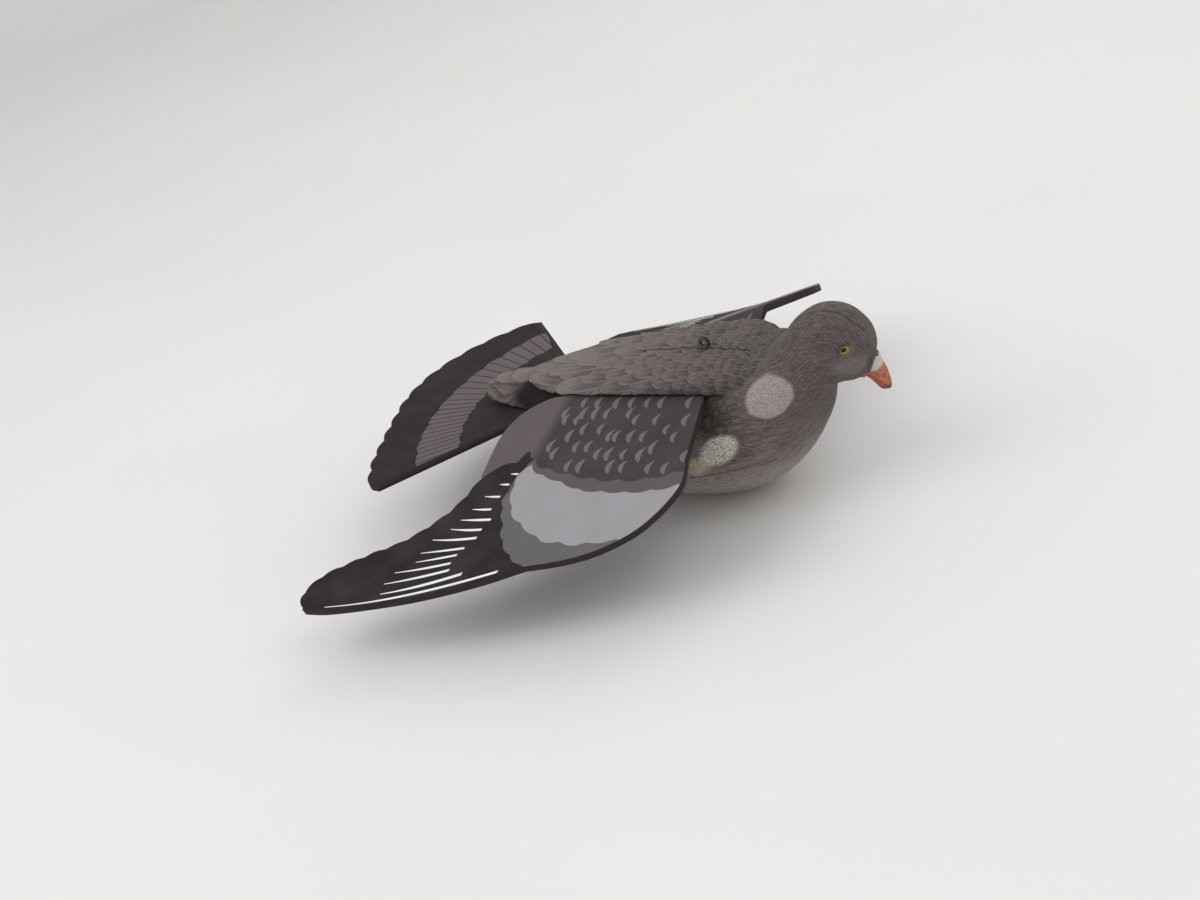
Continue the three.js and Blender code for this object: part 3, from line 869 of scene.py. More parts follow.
def plainCoat(make, on):
    # Brushed paint, darker on head and neck, and paler on the belly, partly its own paint and partly painted
    # light; under the flank, painted shadow below the crease and a painted highlight on it.
    plain = bodyPaints["plain"]
    paint = make.mix(make.ramp(on.broad, 0.35, 0.68), plain, shaded(plain, 0.88))
    start, slope = bodyMake["creaseLine"]
    creaseShadowZ = make.plus(make.times(on.x, slope), (start - bodyMake["creaseShade"]) * mm)
    over = make.minus(on.z, creaseShadowZ)
    above = make.absolute(make.minus(over, 3.6 * mm))
    run = make.times(make.ramp(on.x, 20 * mm, 30 * mm), make.ramp(on.x, 88 * mm, 70 * mm))
    coats = [
        # Paler belly: partly its own paler paint, partly painted light making up for the floor's shade
        ("belly", make.ramp(on.z, 0.054, 0.016), 0.9),
        ("light", make.ramp(on.strokes, 0.48, 0.66), on.bare, 0.45),
        ("dark", make.ramp(on.strokes, 0.5, 0.34), on.bare, 0.6),
        ("dark", make.ramp(make.plus(on.z, make.times(on.x, 0.5)), 0.09, 0.125), 0.42),
        # Painted shadow along a line below the crease, and a painted highlight on the crease above it
        ("dark", make.ramp(make.absolute(over), 1.6 * mm, 0.2 * mm), run, 0.5),
        ("light", make.ramp(above, 2.8 * mm, 0.4 * mm), run, 0.4),
    ]
    return make.layers(paint, bodyPaints, coats)


def featherCoat(make, on, paint):
    coats = [
        ("light", make.ramp(on.x, 0.0, -0.06), on.feather, 0.8),
        # Painted light on the upward-facing top of the back
        ("light", make.ramp(on.z, 0.092, 0.106), on.feather, 0.4),
        # Painted shadow at the feather roots
        ("dark", on.root, 0.6),
        ("dark", make.ramp(on.barbs, 0.1, -0.7), on.feather, make.ramp(on.x, 0.0, -0.05, 0.3, 0.7)),
        # Painted highlight on the feather rims
        ("light", on.rim, 0.7),
        ("light", on.shaft, 0.4),
        ("light", make.ramp(on.speckle, 0.54, 0.66), 0.28),
        ("dark", make.ramp(on.speckle, 0.44, 0.34), 0.4),
    ]
    return make.layers(paint, bodyPaints, coats)


def spotMask(make, on, name):
    x, z, halfLong, halfTall, tilt, inner, outer, fuzz = bodySpots[name]
    mirrored = make.vector(on.x, 0.0, on.z)
    far = make.away(mirrored, (x, 0, z), (halfLong, 1, halfTall), tilt)
    if fuzz:
        rough = make.minus(make.plus(on.speckle, make.times(on.wander, 0.8)), 0.9)
        far = make.plus(far, make.times(rough, fuzz))
    return make.ramp(far, outer, inner)


def spotCoat(make, on, paint):
    # Painted shade on the shoulder in front of the wing root, painted shadow in the hollow beside the stub,
    # pale patches on neck and flank, and the eye.
    spot = {name: spotMask(make, on, name) for name in bodySpots}
    onSide = make.ramp(on.sideways, 14 * mm, 18 * mm)
    onHead = make.ramp(on.sideways, 8 * mm, 10 * mm)
    specks = make.noise(on.place, 1050.0, 2.0, 0.7)
    speck = make.ramp(specks, 0.4, 0.52, 0.1, 1.0)
    coats = [
        # Painted shade on the shoulder, between the wing's front edge and the neck
        ("shoulder", spot["shoulder"], onSide, on.bare, 0.75),
        # Painted shadow in the hollow beside the stub, below the folded wings' rim
        ("hollowShade", spot["hollowShade"], on.bare, make.ramp(on.z, 0.0885, 0.0865), 0.95),
        ("patch", spot["neck"], onSide, make.ramp(specks, 0.36, 0.6, 0.45, 0.9)),
        ("patchYellow", spot["flankDim"], speck, onSide),
        ("patchWhite", spot["flankBright"], speck, onSide),
        ("light", spot["cheek"], onHead, 0.35),
        ("eyeYellow", spot["halo"], onHead, 0.22),
        ("dark", spot["lid"], onHead, 0.6),
        ("eyeYellow", spot["iris"], onHead),
        ("eyeBrown", spot["pupil"], onHead),
    ]
    return make.layers(paint, bodyPaints, coats)


def seamMarks(make, on):
    # The seam down the back, the fainter one over the crown, and the dot in front of the ring.
    offSeam = make.absolute(make.minus(on.y, make.plus(make.times(on.x, -0.07), 2.2 * mm)))
    seam = make.times(
        make.ramp(offSeam, 0.95 * mm, 0.4 * mm),
        make.ramp(on.x, -16 * mm, -12 * mm),
        make.ramp(on.x, 66 * mm, 64 * mm),
        make.ramp(on.z, 0.09, 0.092),
    )
    crown = make.times(
        make.ramp(make.absolute(make.plus(on.y, 5.5 * mm)), 0.5 * mm, 0.25 * mm),
        make.ramp(on.x, 100 * mm, 103 * mm),
        make.ramp(on.z, 0.112, 0.115),
        0.6,
    )
    dot = make.ramp(make.away(on.place, (64.5, -1.6, 98), (2, 1, 9)), 1.0, 0.7)
    return make.most(make.most(seam, dot), crown)


def mantleBumps(make, on):
    # Small rounded bumps where the feathers run out on the mantle and the shoulder.
    place = make.vector(make.over(on.along, 8.0), make.over(on.around, 6.5), make.times(on.wander, 0.6))
    inputs = {"Vector": place, "Scale": 1.0}
    cells = make.add("ShaderNodeTexVoronoi", inputs, feature="DISTANCE_TO_EDGE")
    mantle = make.times(
        make.ramp(on.x, 0.016, 0.034),
        make.ramp(on.x, 0.08, 0.064),
        make.ramp(on.z, 0.062, 0.07),
        on.bare,
    )
    return cells.outputs["Distance"], mantle


def bodyPaint():
    material, make = newMaterial("paintedPlastic")
    on = bodyFields(make)
    featherFields(make, on)
    marks = seamMarks(make, on)
    bumps, mantle = mantleBumps(make, on)
    coats = [
        ("marks", marks, 0.95),
        # Painted shade in the gaps between the mantle bumps and a painted highlight on their crowns
        ("dark", make.ramp(bumps, 0.22, 0.0), mantle, 0.3),
        ("light", make.ramp(bumps, 0.12, 0.35), mantle, 0.16),
    ]
    paint = spotCoat(make, on, featherCoat(make, on, plainCoat(make, on)))
    paint = make.layers(paint, bodyPaints, coats)
    height = make.plus(
        make.times(on.strokes, make.plus(make.times(on.bare, 0.75), 0.25)),
        make.times(make.ramp(bumps, 0.0, 0.35), mantle, 1.5),
        make.times(on.barbs, on.feather, 0.16),
        make.times(on.shaft, 0.35),
        make.times(on.speckle, 0.25),
        make.times(marks, -1.0),
    )
    make.finish(paint, make.ramp(on.broad, 0.3, 0.7, 0.72, 0.88), height, 0.55, sheen=0.05)
    return material


# Bill

billPaints = {
    "orange": (180, 115, 88),
    "red": (150, 80, 70),
    "rose": (168, 92, 84),
    "tip": (112, 58, 48),
    "gape": (58, 26, 20),
    "swelling": (184, 180, 174),
    "behind": shaded(bodyPaints["plain"], 0.82),
    "dot": (40, 38, 36),
}


def billPaint():
    material, make = newMaterial("paintedBill")
    place = make.objectPlace()
    px, _, pz = make.parts(place)[0:3]
    blotch = make.noise(place, 260.0, 3.0)
    fine = make.noise(place, 900.0, 2.0)
    paint = make.mix(make.ramp(blotch, 0.38, 0.68), billPaints["orange"], billPaints["red"])
    offGape = make.absolute(make.plus(pz, make.times(px, 1.07), -232.4 * mm))
    # The swelling above is white behind a line that slants up and forward
    uneven = make.times(make.minus(fine, 0.5), 2.4 * mm)
    slant = make.plus(pz, make.times(px, -0.91), uneven)
    edge = make.minus(px, make.times(make.minus(pz, 0.0852), 0.5))
    nearDot = make.away(place, (147.2, -1.5, 94.0), (1.3, 1.3, 1.3))
    coats = [
        ("rose", make.ramp(px, 0.1435, 0.139)),
        ("tip", make.ramp(pz, 0.0765, 0.0715), 0.8),
        ("gape", make.ramp(offGape, 0.55 * mm, 0.2 * mm), make.ramp(pz, 0.0855, 0.0845), 0.75),
        ("swelling", make.ramp(slant, -48.0 * mm, -47.2 * mm), make.ramp(pz, 0.0845, 0.0856)),
        ("behind", make.ramp(edge, 0.1428, 0.1414), make.ramp(pz, 0.0838, 0.0852)),
        ("dot", make.ramp(nearDot, 1.15, 0.75)),
    ]
    paint = make.layers(paint, billPaints, coats)
    height = make.plus(blotch, make.times(fine, 0.5))
    make.finish(paint, make.ramp(fine, 0.3, 0.7, 0.55, 0.72), height, 0.25)
    return material


def makeBill():
    rows = through(bodyMake["bill"], np.linspace(0, 1, 41)) * unit
    ahead = aheadOf(rows[:, :2])
    turn = 2 * np.pi * np.arange(32) / 32
    rings = np.empty((len(rows), 32, 3))
    rings[..., 0] = rows[:, 0, None] - ahead[:, 1, None] * rows[:, 3, None] * np.cos(turn)
    rings[..., 1] = -rows[:, 2, None] * np.sin(turn)
    rings[..., 2] = rows[:, 1, None] + ahead[:, 0, None] * rows[:, 3, None] * np.cos(turn)
    swelling = ballOf(np.array(bodyMake["cere"]) * unit, np.array(bodyMake["cereHalf"]) * unit)
    bill = pieceOf("bill", meshOf("bill", *joined([closedTube(rings), swelling])))
    bill.data.materials.append(billPaint())
    return bill


# Ring on the back, with its foot


def makeLug(paint):
    wire, footHeight = bodyMake["lugWire"], bodyMake["lugFootHeight"]
    turn = 2 * np.pi * np.arange(40) / 40
    wireTurn = 2 * np.pi * np.arange(16) / 16
    reach = bodyMake["lugRadius"] + wire * np.cos(wireTurn)
    ring = np.empty((40, 16, 3))
    ring[..., 0] = np.cos(turn)[:, None] * reach
    ring[..., 1] = wire * np.sin(wireTurn)
    ring[..., 2] = np.sin(turn)[:, None] * reach + footHeight + bodyMake["lugRadius"] + wire / 2
    ring = ring.reshape(-1, 3)
    low, high = -1.5, footHeight + 0.6
    heights = np.linspace(low, high, 12)
    radii = wire + (bodyMake["lugFootRadius"] - wire) * smoothstep(heights, high, low)
    foot = np.empty((12, 40, 3))
    foot[..., 0] = radii[:, None] * np.cos(turn)
    foot[..., 1] = radii[:, None] * np.sin(turn)
    foot[..., 2] = heights[:, None]
    solids = [(ring, outward(ring, gridFaces(40, 16, True, True))), closedTube(foot)]
    points, faces = joined(solids)
    lug = pieceOf("lug", meshOf("lug", points + np.array(bodyMake["lugFoot"]) * unit, faces))
    lug.data.materials.append(paint)
    return lug


def finishBody():
    paint = bodyPaint()
    extras = [laidFeathers(skin, paint), makeBill(), makeLug(paint)]
    body.data.materials.clear()
    body.data.materials.append(paint)
    body.data.set_sharp_from_angle(angle=50 * degree)
    chosen = {"active_object": body, "object": body, "selected_editable_objects": [body] + extras}
    with bpy.context.temp_override(**chosen):
        bpy.ops.object.join()
    print("body finished:", len(body.data.polygons), "faces")
    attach(body, "root")
    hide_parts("body")


finishBody()

# Printed foam wings

printMake = {
    "paints": {
        "ground": (63, 55, 58),
        "groundLight": (94, 85, 86),
        "primaries": (37, 31, 31),
        "band": (89, 83, 87),
        "bandOutside": (99, 96, 97),
        "light": (154, 152, 156),
        "fleck": (110, 105, 109),
        "streak": (236, 236, 234),
    },
    # where the flecked ground ends, outboard: points in millimetres, then scallops and their depth
    "fleckEdge": (
        [(-45, 53.5), (-38, 61), (-28, 64), (-12, 67.5), (6, 70.5), (22, 71.5), (40, 70), (56, 66), (80, 58)],
        7,
        2.2,
    ),
    "lightLower": (
        [
            (-45.5, 59), (-37, 66.5), (-24, 71), (-10, 75.5), (2, 79.5),
            (22, 80.5), (40, 80), (55, 77.5), (66, 74), (84, 66),
        ],
        8,
        1.5,
    ),
    "lightUpper": (
        [
            (-45.5, 59), (-50, 73), (-45.5, 87), (-40, 97), (-31, 105.5), (-18, 113),
            (-6, 119), (8, 120.5), (20, 121), (34, 118.5), (48, 116), (84, 112),
        ],
        9,
        2.0,
    ),
    "bandOuter": (
        [
            (-45, 53.5), (-50, 73), (-50.5, 88), (-46, 99), (-40, 109),
            (-35, 119), (-27, 128), (-18, 135), (-8, 140), (0, 150),
        ],
        8,
        1.6,
    ),
    "primaryInner": [
        (-90, 85), (-77, 72), (-70, 64), (-64, 59.5), (-57, 58.2),
        (-55.5, 54), (-53, 49), (-50, 50.5), (-48.5, 54), (-45, 54.5),
    ],
    # rows of flecks: distance outboard, then each fleck's place forward
    "flecks": {
        60: (-16, -7, 15, 24, 43, 54),
        50: (-32, 1, 9, 20, 32, 63),
        44: (-38, -18, -9, 38),
        35: (-28, 2.5, 7.5, 18, 27, 49),
        29: (-20, -7, 41),
        21: (-38, -29, 15, 30, 51),
        15.5: (-18, -9, 8, -27, -41),
        6: (-31, -20, -6, 5, 17, 27, 47, 60),
    },
    "fleckTall": 6.3,
    "fleckWide": 1.8,
    # white streaks: from outer end to inner end (x, y, x, y), bow and width
    "streaks": [
        (-139, 180.8, -23, 144, 4.6, 2.0),
        (-101, 167.5, -48, 147.8, 1.6, 2.4),
        (-103, 159.8, -59, 145.8, 0.8, 2.0),
        (-100, 150.8, -61, 140.6, 0.7, 1.8),
        (-88.5, 141.8, -60, 134.2, 0.2, 1.7),
        (-89, 134.6, -57.5, 128.6, 0.2, 1.7),
        (-86, 123.8, -53, 120.2, 0.8, 1.9),
        (-77, 114.6, -53, 113.6, 0.6, 1.8),
        (-73.5, 107, -50.5, 105.4, 0.2, 1.9),
        (-69.5, 98, -55, 97.3, 0.2, 1.7),
        (-66, 87.2, -54, 86.9, 0.1, 1.6),
        (-60, 76.8, -52.5, 76.7, 0.1, 1.5),
        (-56.3, 68.0, -50.5, 67.8, 0.0, 1.4),
    ],
}

foamPaints = {
    "edge": (42, 37, 35),
    "under": (56, 50, 49),
    "tint": (120, 112, 110),
}


def spaced(points, count, shares):
    # Places at shares of the length of a smooth curve, which is followed in count steps.
    line = through(points, np.linspace(0, 1, count), False)
    run = runOf(line)
    return np.stack([np.interp(shares, run / run[-1], line[:, k]) for k in range(2)], -1)


def scalloped(points, count, depth):
    # A smooth line with rounded tips that stand out to its left.
    shares = np.linspace(0, 1, 40 * (len(points) - 1))
    line = spaced(points, len(shares), shares)
    ahead = aheadOf(line)
    out = depth * (np.abs(np.sin(np.pi * shares * count)) - 0.6)
    return line + np.stack([-ahead[:, 1], ahead[:, 0]], -1) * out[:, None]


def pulledIn(points, count, depth, samples):
    # A smooth line with notches between its rounded tips.
    shares = np.linspace(0, 1, count * samples + 1)
    line = spaced(points, 400, shares)
    ahead = aheadOf(line)
    pull = depth * (1 - np.abs(np.sin(np.pi * shares * count)))
    return line + np.stack([ahead[:, 1], -ahead[:, 0]], -1) * pull[:, None]


def signedDistance(places, outline):
    # Distance to a closed outline, above zero inside.
    start, end = outline, np.roll(outline, -1, axis=0)
    best = np.full(len(places), 1e9)
    inside = np.zeros(len(places), bool)
    for a, b in zip(start, end):
        run = b - a
        reach = float(run @ run) or 1e-12
        share = np.clip(((places - a) @ run) / reach, 0, 1)
        best = np.minimum(best, np.linalg.norm(places - a - share[:, None] * run, axis=1))
        crosses = (a[1] > places[:, 1]) != (b[1] > places[:, 1])
        if a[1] != b[1]:
            inside ^= crosses & (places[:, 0] < a[0] + (places[:, 1] - a[1]) * run[0] / run[1])
    return np.where(inside, best, -best)


def fleckDistance(places):
    # Distance to the flecks' rims, above zero inside.
    best = np.full(len(places), -99.0)
    chance = np.random.default_rng(11)
    for y, line in printMake["flecks"].items():
        for x in line:
            size = 1 + chance.normal(0, 0.08)
            v = (places[:, 1] - y) / (printMake["fleckTall"] * size)
            middle = x - 1.3 + np.where(v > 0, 3.2, 3.4) * v * v
            taper = 1 - np.where(v > 0, np.abs(v) ** 3, np.abs(v) ** 1.4)
            inside = printMake["fleckWide"] * size * taper - np.abs(places[:, 0] - middle)
            best = np.maximum(best, np.where(np.abs(v) < 1.3, inside, -9.0))
    return best


def edgeAt(line, y):
    # Where an outline, given in order outward, stands at each distance from the root.
    order = np.maximum.accumulate(line[:, 1] + np.arange(len(line)) * 1e-9)
    return np.interp(y, order, line[:, 0])


def hung(x, y, z, hang):
    # A flat place as it hangs: bent down near the body, twisted, and with its tip lifted.
    reach, bend = foamMake["wingReach"], foamMake["bend"]
    start = foamMake["handStart"] * reach
    turn = hang["twist"] * degree * smoothstep(y, 0, foamMake["softRoot"] * reach)
    beyond = np.maximum(0, y - start) / (reach - start)
    height = x * np.sin(turn) + z * np.cos(turn) + hang["tipLift"] * beyond * np.maximum(0, -x) / reach
    droop = hang["droop"] * degree
    bent = np.clip(y / bend + 0.5, 0, 1) * droop
    radius = bend / droop
    past, before = np.maximum(0, y - bend / 2), np.minimum(y, -bend / 2)
    out = before + radius * np.sin(bent) + past * np.cos(bent)
    down = radius * (1 - np.cos(bent)) + past * np.sin(bent)
    flatX = x * np.cos(turn) - z * np.sin(turn)
    return np.stack([flatX, out + height * np.sin(bent), height * np.cos(bent) - down], -1)


def sheetFaces(rowCount, columns):
    # The upper side of a sheet, its lower side, and the rim between them.
    size = rowCount * columns
    top = gridFaces(rowCount, columns)
    bottom = [tuple(size + index for index in face[::-1]) for face in top]
    grid = np.arange(size).reshape(rowCount, columns)
    loop = np.concatenate([grid[0], grid[1:, -1], grid[-1, -2::-1], grid[-2:0:-1, 0]]).tolist()
    rim = [(b, a, size + a, size + b) for a, b in zip(loop, loop[1:] + loop[:1])]
    return top + bottom + rim


def foamSheet(name, lines, across, lay):
    # A sheet over lines of points, each at its share of the way across, with softly rounded
    # upper and lower edges. lay bends flat places and heights into the hung form.
    edge, thickness = foamMake["edgeRound"], foamMake["thickness"]
    chord = np.linalg.norm(lines[-1][1] - lines[0][1], axis=1)
    inner = np.linspace(0, 1, across + 1)[None] * np.ones((len(chord), 1))
    soft = np.minimum(edge / np.maximum(chord, 1e-6), 0.02)[:, None]
    shares = [inner[:, :1], soft * 0.35, soft, inner[:, 1:-1], 1 - soft, 1 - soft * 0.35, inner[:, -1:]]
    shares = np.sort(np.concatenate(shares, 1), 1)
    flat = np.zeros(shares.shape + (2,))
    for (low, start), (high, end) in zip(lines, lines[1:]):
        part = np.clip((shares - low) / (high - low), 0, 1)[..., None]
        reached = start[:, None] + (end - start)[:, None] * part
        flat = np.where((shares >= low)[..., None], reached, flat)
    drop = np.zeros(shares.shape)
    drop[:, [0, -1]] = edge
    drop[:, [1, -2]] = edge * 0.3
    drop[[0, -1]] = edge
    drop[-2] = np.maximum(drop[-2], edge * 0.3)
    x, y = flat[..., 0], flat[..., 1]
    wave = 0.25 * np.sin(x / 23 + 1) * np.sin(y / 31) * smoothstep(y, 10, 40)
    heights = (wave - drop, wave - thickness + drop)
    points = np.vstack([np.stack([x, y, height], -1).reshape(-1, 3) for height in heights])
    bent = lay(points)
    piece = pieceOf(name, meshOf(name, bent, outward(bent, sheetFaces(*shares.shape))))
    onTop = 1 - smoothstep(drop.reshape(-1), edge * 0.5, edge)
    addAttribute(piece.data, "printed", np.concatenate([onTop, onTop * 0]))
    addAttribute(piece.data, "flatPlace", points, "FLOAT_VECTOR")
    return piece, points[:, :2]


def foamFields(make):
    # What the prints are worked out from: flat places, the foam's cells and two kinds of noise.
    on = SimpleNamespace(flat=make.attribute("flatPlace", "Vector"))
    on.x, on.y = make.parts(on.flat)[0:2]
    place = make.objectPlace()
    on.cells = make.add("ShaderNodeTexVoronoi", {"Vector": place, "Scale": 900.0}).outputs["Distance"]
    on.cloudy = make.noise(place, 45.0, 3.0)
    on.grain = make.noise(on.flat, 1.6, 3.0, 0.6)
    return on


def finishFoam(make, on, paint, tint):
    # A cloudy tint over the print, plain foam on the edges and below, and the foam's cells.
    paint = make.lay(paint, foamPaints["tint"], make.ramp(on.cloudy, 0.3, 0.75, 0.0, tint))
    foam = make.mix(make.ramp(on.grain, 0.3, 0.7), foamPaints["edge"], foamPaints["under"])
    paint = make.mix(make.ramp(make.attribute("printed"), 0.25, 0.75), foam, paint)
    height = make.plus(make.times(on.cells, 0.6), make.times(on.grain, 0.5))
    make.finish(paint, make.ramp(on.cloudy, 0.3, 0.7, 0.66, 0.8), height, 0.14, gloss=0.15)


streakValues = ("From X", "From Y", "To X", "To Y", "Bow", "Width")


def streakGroup():
    # One streak between two places, bowed and thinning towards its outer end.
    group = bpy.data.node_groups.new("streak", "ShaderNodeTree")
    takes = {"Place": "Vector", **{name: "Float" for name in streakValues}}
    newSockets(group, takes, {"Mask": "Float"})
    make = Nodes(group)
    given = make.add("NodeGroupInput").outputs
    px, py = make.parts(given["Place"])[0:2]
    run = make.over(make.minus(px, given["From X"]), make.minus(given["To X"], given["From X"]))
    straight = make.plus(given["From Y"], make.times(run, make.minus(given["To Y"], given["From Y"])))
    bow = make.times(run, make.minus(1.0, run), given["Bow"], 4.0)
    off = make.absolute(make.minus(py, make.plus(straight, bow)))
    half = make.times(given["Width"], make.ramp(run, -0.1, 0.7, 0.12, 0.5))
    wide = make.ramp(make.minus(half, off), -0.12, 0.12)
    ends = make.times(make.ramp(run, 0.0, 0.015), make.ramp(run, 1.0, 0.99))
    make.add("NodeGroupOutput", {"Mask": make.times(wide, ends)})
    return group


def streakMarks(make, flat):
    group = streakGroup()
    marks = 0.0
    for row in printMake["streaks"]:
        inputs = {"Place": flat, **dict(zip(streakValues, row))}
        mark = make.add("ShaderNodeGroup", inputs, node_tree=group)
        marks = make.most(marks, mark.outputs[0])
    return marks


def wingPrint():
    material, make = newMaterial("printedWing")
    on = foamFields(make)

    def crisp(name):
        return make.ramp(make.attribute(name), -0.18, 0.18)

    paints = dict(printMake["paints"])
    paint = make.mix(make.ramp(on.x, -40.0, -52.0), paints["ground"], paints["groundLight"])
    paints["bandBlend"] = make.mix(make.ramp(on.y, 76.0, 92.0), paints["band"], paints["bandOutside"])
    coats = [
        ("fleck", crisp("onFleck"), make.ramp(on.grain, 0.3, 0.6, 0.7, 1.0)),
        ("primaries", crisp("onPrimaries")),
        ("streak", streakMarks(make, on.flat)),
        ("bandBlend", crisp("onBand")),
        ("light", crisp("onLight")),
    ]
    finishFoam(make, on, make.layers(paint, paints, coats), 0.12)
    return material


def wingLines():
    # The root tab's and the sheet's rear and front edges, point by point outward.
    reach = foamMake["wingReach"]
    edges = (foamMake["leadingEdge"], foamMake["handEdge"])
    front = np.vstack([through(edge, np.linspace(0, 1, 81), False) for edge in edges]) * reach
    inner = through(foamMake["innerFeatherEdge"], np.linspace(0, 1, 60), False) * reach
    outer = np.array(foamMake["longFeatherEdge"]) * reach
    rear = np.vstack([inner, pulledIn(outer, foamMake["longFeathers"], foamMake["notch"], 24)])
    y = reach * np.sin(np.linspace(0, 1, int(reach * 1.25 / foamMake["grain"])) * np.pi / 2)[1:]
    y[-1] = reach
    shares = np.linspace(0, 1, 9)[:, None]
    lines = []
    for corner, edge in zip(tabCorners(0), (rear, front)):
        tab = np.array(corner) + (np.array([corner[0], 0]) - corner) * shares
        lines.append(np.vstack([tab, np.stack([edgeAt(edge, y), y], -1)]))
    return [(0.0, lines[0]), (1.0, lines[1])]


def printDistances(flat):
    # How far inside each field of the print the flat places are.
    keys = ("fleckEdge", "lightLower", "lightUpper", "bandOuter")
    fleckEdge, lightLower, lightUpper, bandOuter = (scalloped(*printMake[key]) for key in keys)
    primary = through(printMake["primaryInner"], np.linspace(0, 1, 120), False)
    beyond = [(120.0, 150.0), (120.0, 45.0)]
    past = [(60.0, 260.0), (-260.0, 260.0), (-260.0, 90.0)]
    return {
        "onLight": signedDistance(flat, np.vstack([lightUpper, lightLower[::-1]])),
        "onBand": signedDistance(flat, np.vstack([bandOuter, beyond, fleckEdge[::-1]])),
        "onPrimaries": signedDistance(flat, np.vstack([primary, bandOuter, past])),
        "onFleck": fleckDistance(flat),
    }


def makeWing(side, name, node, material):
    place = slotPlacement(side)
    hang = foamMake["right" if side < 0 else "left"]

    def lay(points):
        bent = hung(*points.T, hang)
        bent[:, 1] *= side
        return placed(bent, place)

    piece, flat = foamSheet(name, wingLines(), int(125 / foamMake["grain"]), lay)
    for key, values in printDistances(flat).items():
        addAttribute(piece.data, key, values)
    piece.data.materials.append(material)
    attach(piece, "root")
    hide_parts(node)
    print(name + ":", len(piece.data.polygons), "faces")


wingMaterial = wingPrint()
makeWing(-1, "wingRight", "wing_right", wingMaterial)
makeWing(1, "wingLeft", "wing_left", wingMaterial)

# Printed foam tail fan

tailPrint = {
    "paints": {
        "outer": (39, 32, 32),
        "inner": (40, 35, 35),
        "band": (106, 97, 98),
        "line": (46, 39, 39),
    },
    "centre": (25.0, 0.0),  # of the band's two arcs, from the fan's apex
    "bandFrom": 122.5,
    "bandTo": 152.0,
    "bandSpread": 33.2,  # degrees at the band's inner side
    "tipStep": 7.3,  # degrees from one feather tip to the next along the band's edges
    "tipRise": 1.6,
    "bandSplay": 0.14,  # degrees wider per millimetre outward
    "lineFrom": -2.3,  # degrees; lines lie closer together on the bird's right
    "lineStepLeft": 3.95,
    "lineStepRight": 2.95,
}


def fanLines():
    # The fan's blunt front, the line where its side edges leave the tab, and its rim, each from
    # the bird's right to its left.
    spread, corner = tailMake["halfAngle"] * degree, tailMake["corner"]
    size, count, half = tailMake["radius"], tailMake["feathers"], tailMake["tabHalf"]
    shares = np.linspace(1, 0, count * 16 + 1)
    radius = through([(value,) for value in tailMake["rim"]], shares)[:, 0] * size
    radius = radius - tailMake["scallop"] * (1 - np.abs(np.sin(np.pi * shares * count)))
    inset = corner / size
    angle = spread - inset + (2 * inset - 2 * spread) * shares
    ends = [tailMake["rim"][k] * size - corner for k in (-1, 0)]
    angle = np.concatenate([[-spread], angle, [spread]])
    radius = np.concatenate([ends[:1], radius, ends[1:]])
    rim = np.stack([-radius * np.cos(angle), radius * np.sin(angle)], -1)
    run = np.linspace(0, 1, len(rim))[:, None]
    left, right = tailMake["tabRoot"]
    root = np.array([right, -half]) + (np.array([left, half]) - (right, -half)) * run
    front = np.array([-tailMake["setback"], -half]) + np.array([0, 2 * half]) * run
    return [(0.0, front), (0.15, root), (1.0, rim)]


def featherLines(make, on):
    # Thin lines from the fan's apex outwards, between its feathers.
    right, left = tailPrint["lineStepRight"], tailPrint["lineStepLeft"]
    turn = make.over(make.math("ARCTAN2", on.y, make.times(on.x, -1.0)), degree)
    off = make.minus(turn, tailPrint["lineFrom"])
    pitch = make.plus(right, make.times(make.math("GREATER_THAN", off, 0.0), left - right))
    share = make.math("FRACT", make.plus(make.over(off, pitch), 0.5))
    reach = make.length(make.vector(on.x, on.y))
    apart = make.times(make.absolute(make.minus(share, 0.5)), pitch, reach, degree)
    return make.ramp(apart, 0.75, 0.35)


def fanPrint():
    material, make = newMaterial("printedFan")
    on = foamFields(make)
    cx, cy = tailPrint["centre"]
    offX, offY = make.minus(cx, on.x), make.minus(on.y, cy)
    radius = make.length(make.vector(offX, offY))
    turn = make.over(make.math("ARCTAN2", offY, offX), degree)
    tips = make.absolute(make.math("SINE", make.times(turn, math.pi / tailPrint["tipStep"])))
    wobble = make.times(make.minus(make.noise(on.flat, 0.12, 1.0), 0.5), 2.0)
    rise = make.times(make.minus(tips, 0.6), tailPrint["tipRise"])
    wavy = make.minus(make.plus(radius, wobble), rise)
    inner, outer = tailPrint["bandFrom"], tailPrint["bandTo"]
    splay = make.times(make.minus(radius, inner), tailPrint["bandSplay"])
    limit = make.plus(tailPrint["bandSpread"], splay)
    band = make.times(
        make.ramp(wavy, inner - 0.2, inner + 0.2),
        make.ramp(wavy, outer + 0.2, outer - 0.2),
        make.ramp(make.minus(limit, make.absolute(turn)), -0.1, 0.1),
    )
    paints = tailPrint["paints"]
    stripe = make.mix(make.ramp(on.grain, 0.3, 0.7, 0.0, 0.25), paints["band"], paints["outer"])
    stripe = make.lay(stripe, paints["line"], featherLines(make, on), 0.85)
    paint = make.mix(make.ramp(wavy, inner - 0.3, inner + 0.3), paints["inner"], paints["outer"])
    finishFoam(make, on, make.lay(paint, stripe, band), 0.1)
    return material


def layFan(points):
    swing = tailMake["swing"] * degree
    turned = points.copy()
    turned[:, 0] = points[:, 0] * math.cos(swing) - points[:, 1] * math.sin(swing)
    turned[:, 1] = points[:, 0] * math.sin(swing) + points[:, 1] * math.cos(swing)
    return turned + np.array(tailMake["apex"]) * unit


fan, _ = foamSheet("tailFan", fanLines(), 130, layFan)
fan.data.materials.append(fanPrint())
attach(fan, "root")
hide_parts("tail_fan")
print("tail fan:", len(fan.data.polygons), "faces")

# Studio: pale floor and backdrop, soft light, camera at the photograph's angle

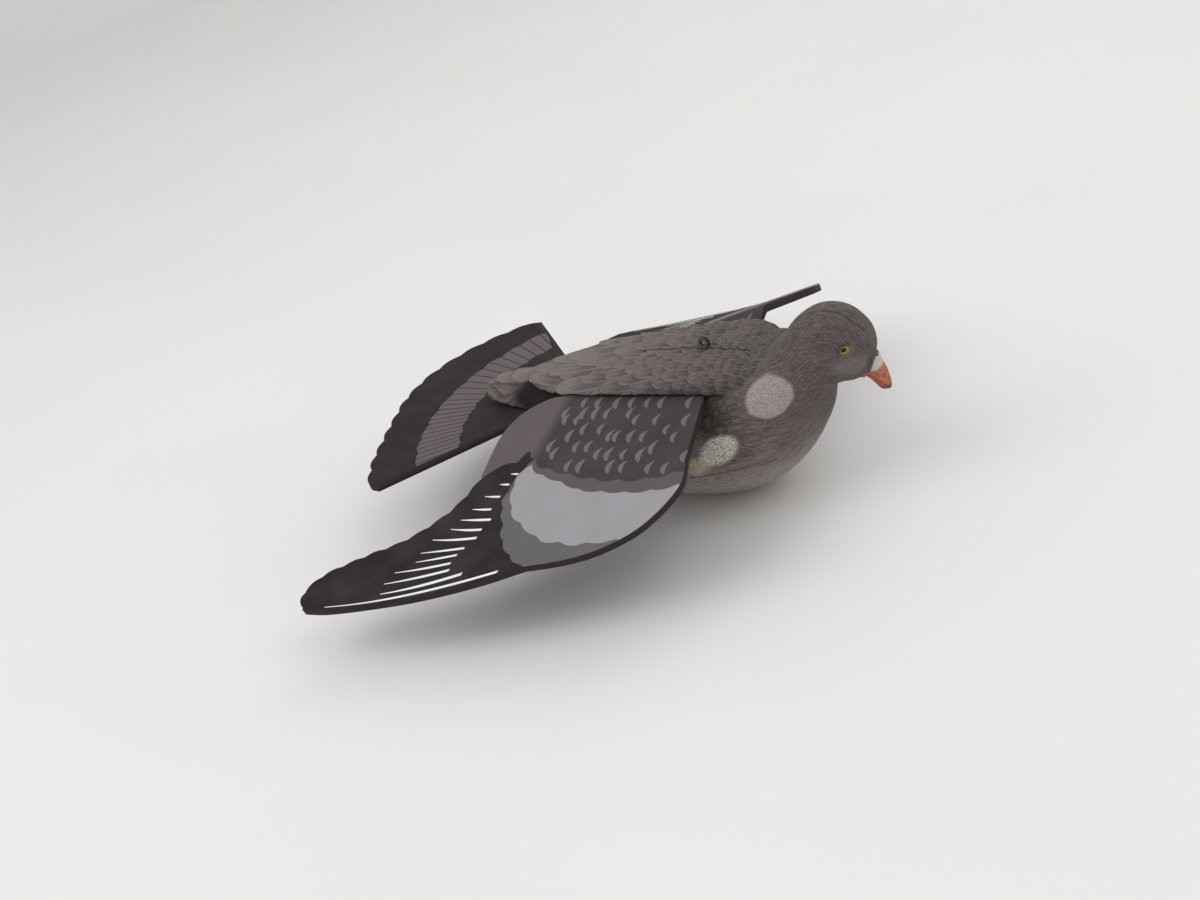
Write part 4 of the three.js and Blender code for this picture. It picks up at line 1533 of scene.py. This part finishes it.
studioMake = {
    "cameraAt": (0.5160, -0.7820, 0.5309),
    "right": (0.84682, 0.45113, -0.28171),
    "up": (-0.00735, 0.53953, 0.84194),
    "back": (0.53182, -0.71090, 0.46020),
    "lens": 48.8,
    "floor": (232, 231, 229),
    "floorTurn": 36.8,
    "world": (232, 232, 232),
    "worldLight": 0.9,
    # place, size and power
    "lights": [
        ((-0.9, -1.1, 1.7), 1.4, 11.0),
        ((1.3, -0.2, 1.6), 1.2, 6.0),
        ((0.1, 1.5, 1.5), 1.4, 6.0),
    ],
}


def makeFloor():
    # A flat floor that bends up into a backdrop, in metres.
    turn = np.linspace(0, np.pi / 2, 16)
    curve = [(2.6 + 0.9 * math.sin(t), 0.9 - 0.9 * math.cos(t)) for t in turn]
    profile = [(-4.0, 0.0)] + curve + [(3.5, 4.0)]
    points = [(x / mm, y / mm, z / mm) for y, z in profile for x in (-6.0, 6.0)]
    faces = [(2 * k, 2 * k + 1, 2 * k + 3, 2 * k + 2) for k in range(len(profile) - 1)]
    floor = pieceOf("floor", meshOf("floor", points, faces))
    floor.rotation_euler.z = studioMake["floorTurn"] * degree
    material, make = newMaterial("paleFloor")
    cloud = make.noise(make.objectPlace(), 3.0, 2.0)
    pale = studioMake["floor"]
    colour = make.mix(make.ramp(cloud, 0.3, 0.7), pale, tuple(value - 2 for value in pale))
    make.finish(colour, 0.9, cloud, 0.02)
    floor.data.materials.append(material)


def makeLight():
    world = bpy.data.worlds.new("studio")
    world.use_nodes = True
    shade = world.node_tree.nodes["Background"]
    shade.inputs["Color"].default_value = linear(studioMake["world"])
    shade.inputs["Strength"].default_value = studioMake["worldLight"]
    bpy.context.scene.world = world
    for number, (at, size, power) in enumerate(studioMake["lights"]):
        data = bpy.data.lights.new("soft%d" % number, "AREA")
        data.size = size
        data.energy = power
        light = pieceOf("soft%d" % number, data)
        light.location = at
        ahead = Vector((0, 0, 0.05)) - Vector(at)
        light.rotation_euler = ahead.to_track_quat("-Z", "Y").to_euler()


def makeCamera():
    data = bpy.data.cameras.new("camera")
    data.lens = studioMake["lens"]
    data.sensor_fit = "HORIZONTAL"
    data.sensor_width = 36.0
    data.dof.use_dof = False
    data.clip_start, data.clip_end = 0.01, 50.0
    camera = pieceOf("camera", data)
    axes = (studioMake["right"], studioMake["up"], studioMake["back"])
    turn = Matrix(axes).transposed().to_4x4()
    camera.matrix_world = Matrix.Translation(studioMake["cameraAt"]) @ turn
    bpy.context.scene.camera = camera


makeFloor()
makeLight()
makeCamera()
bpy.context.scene.view_settings.view_transform = "Standard"
print("studio ready")
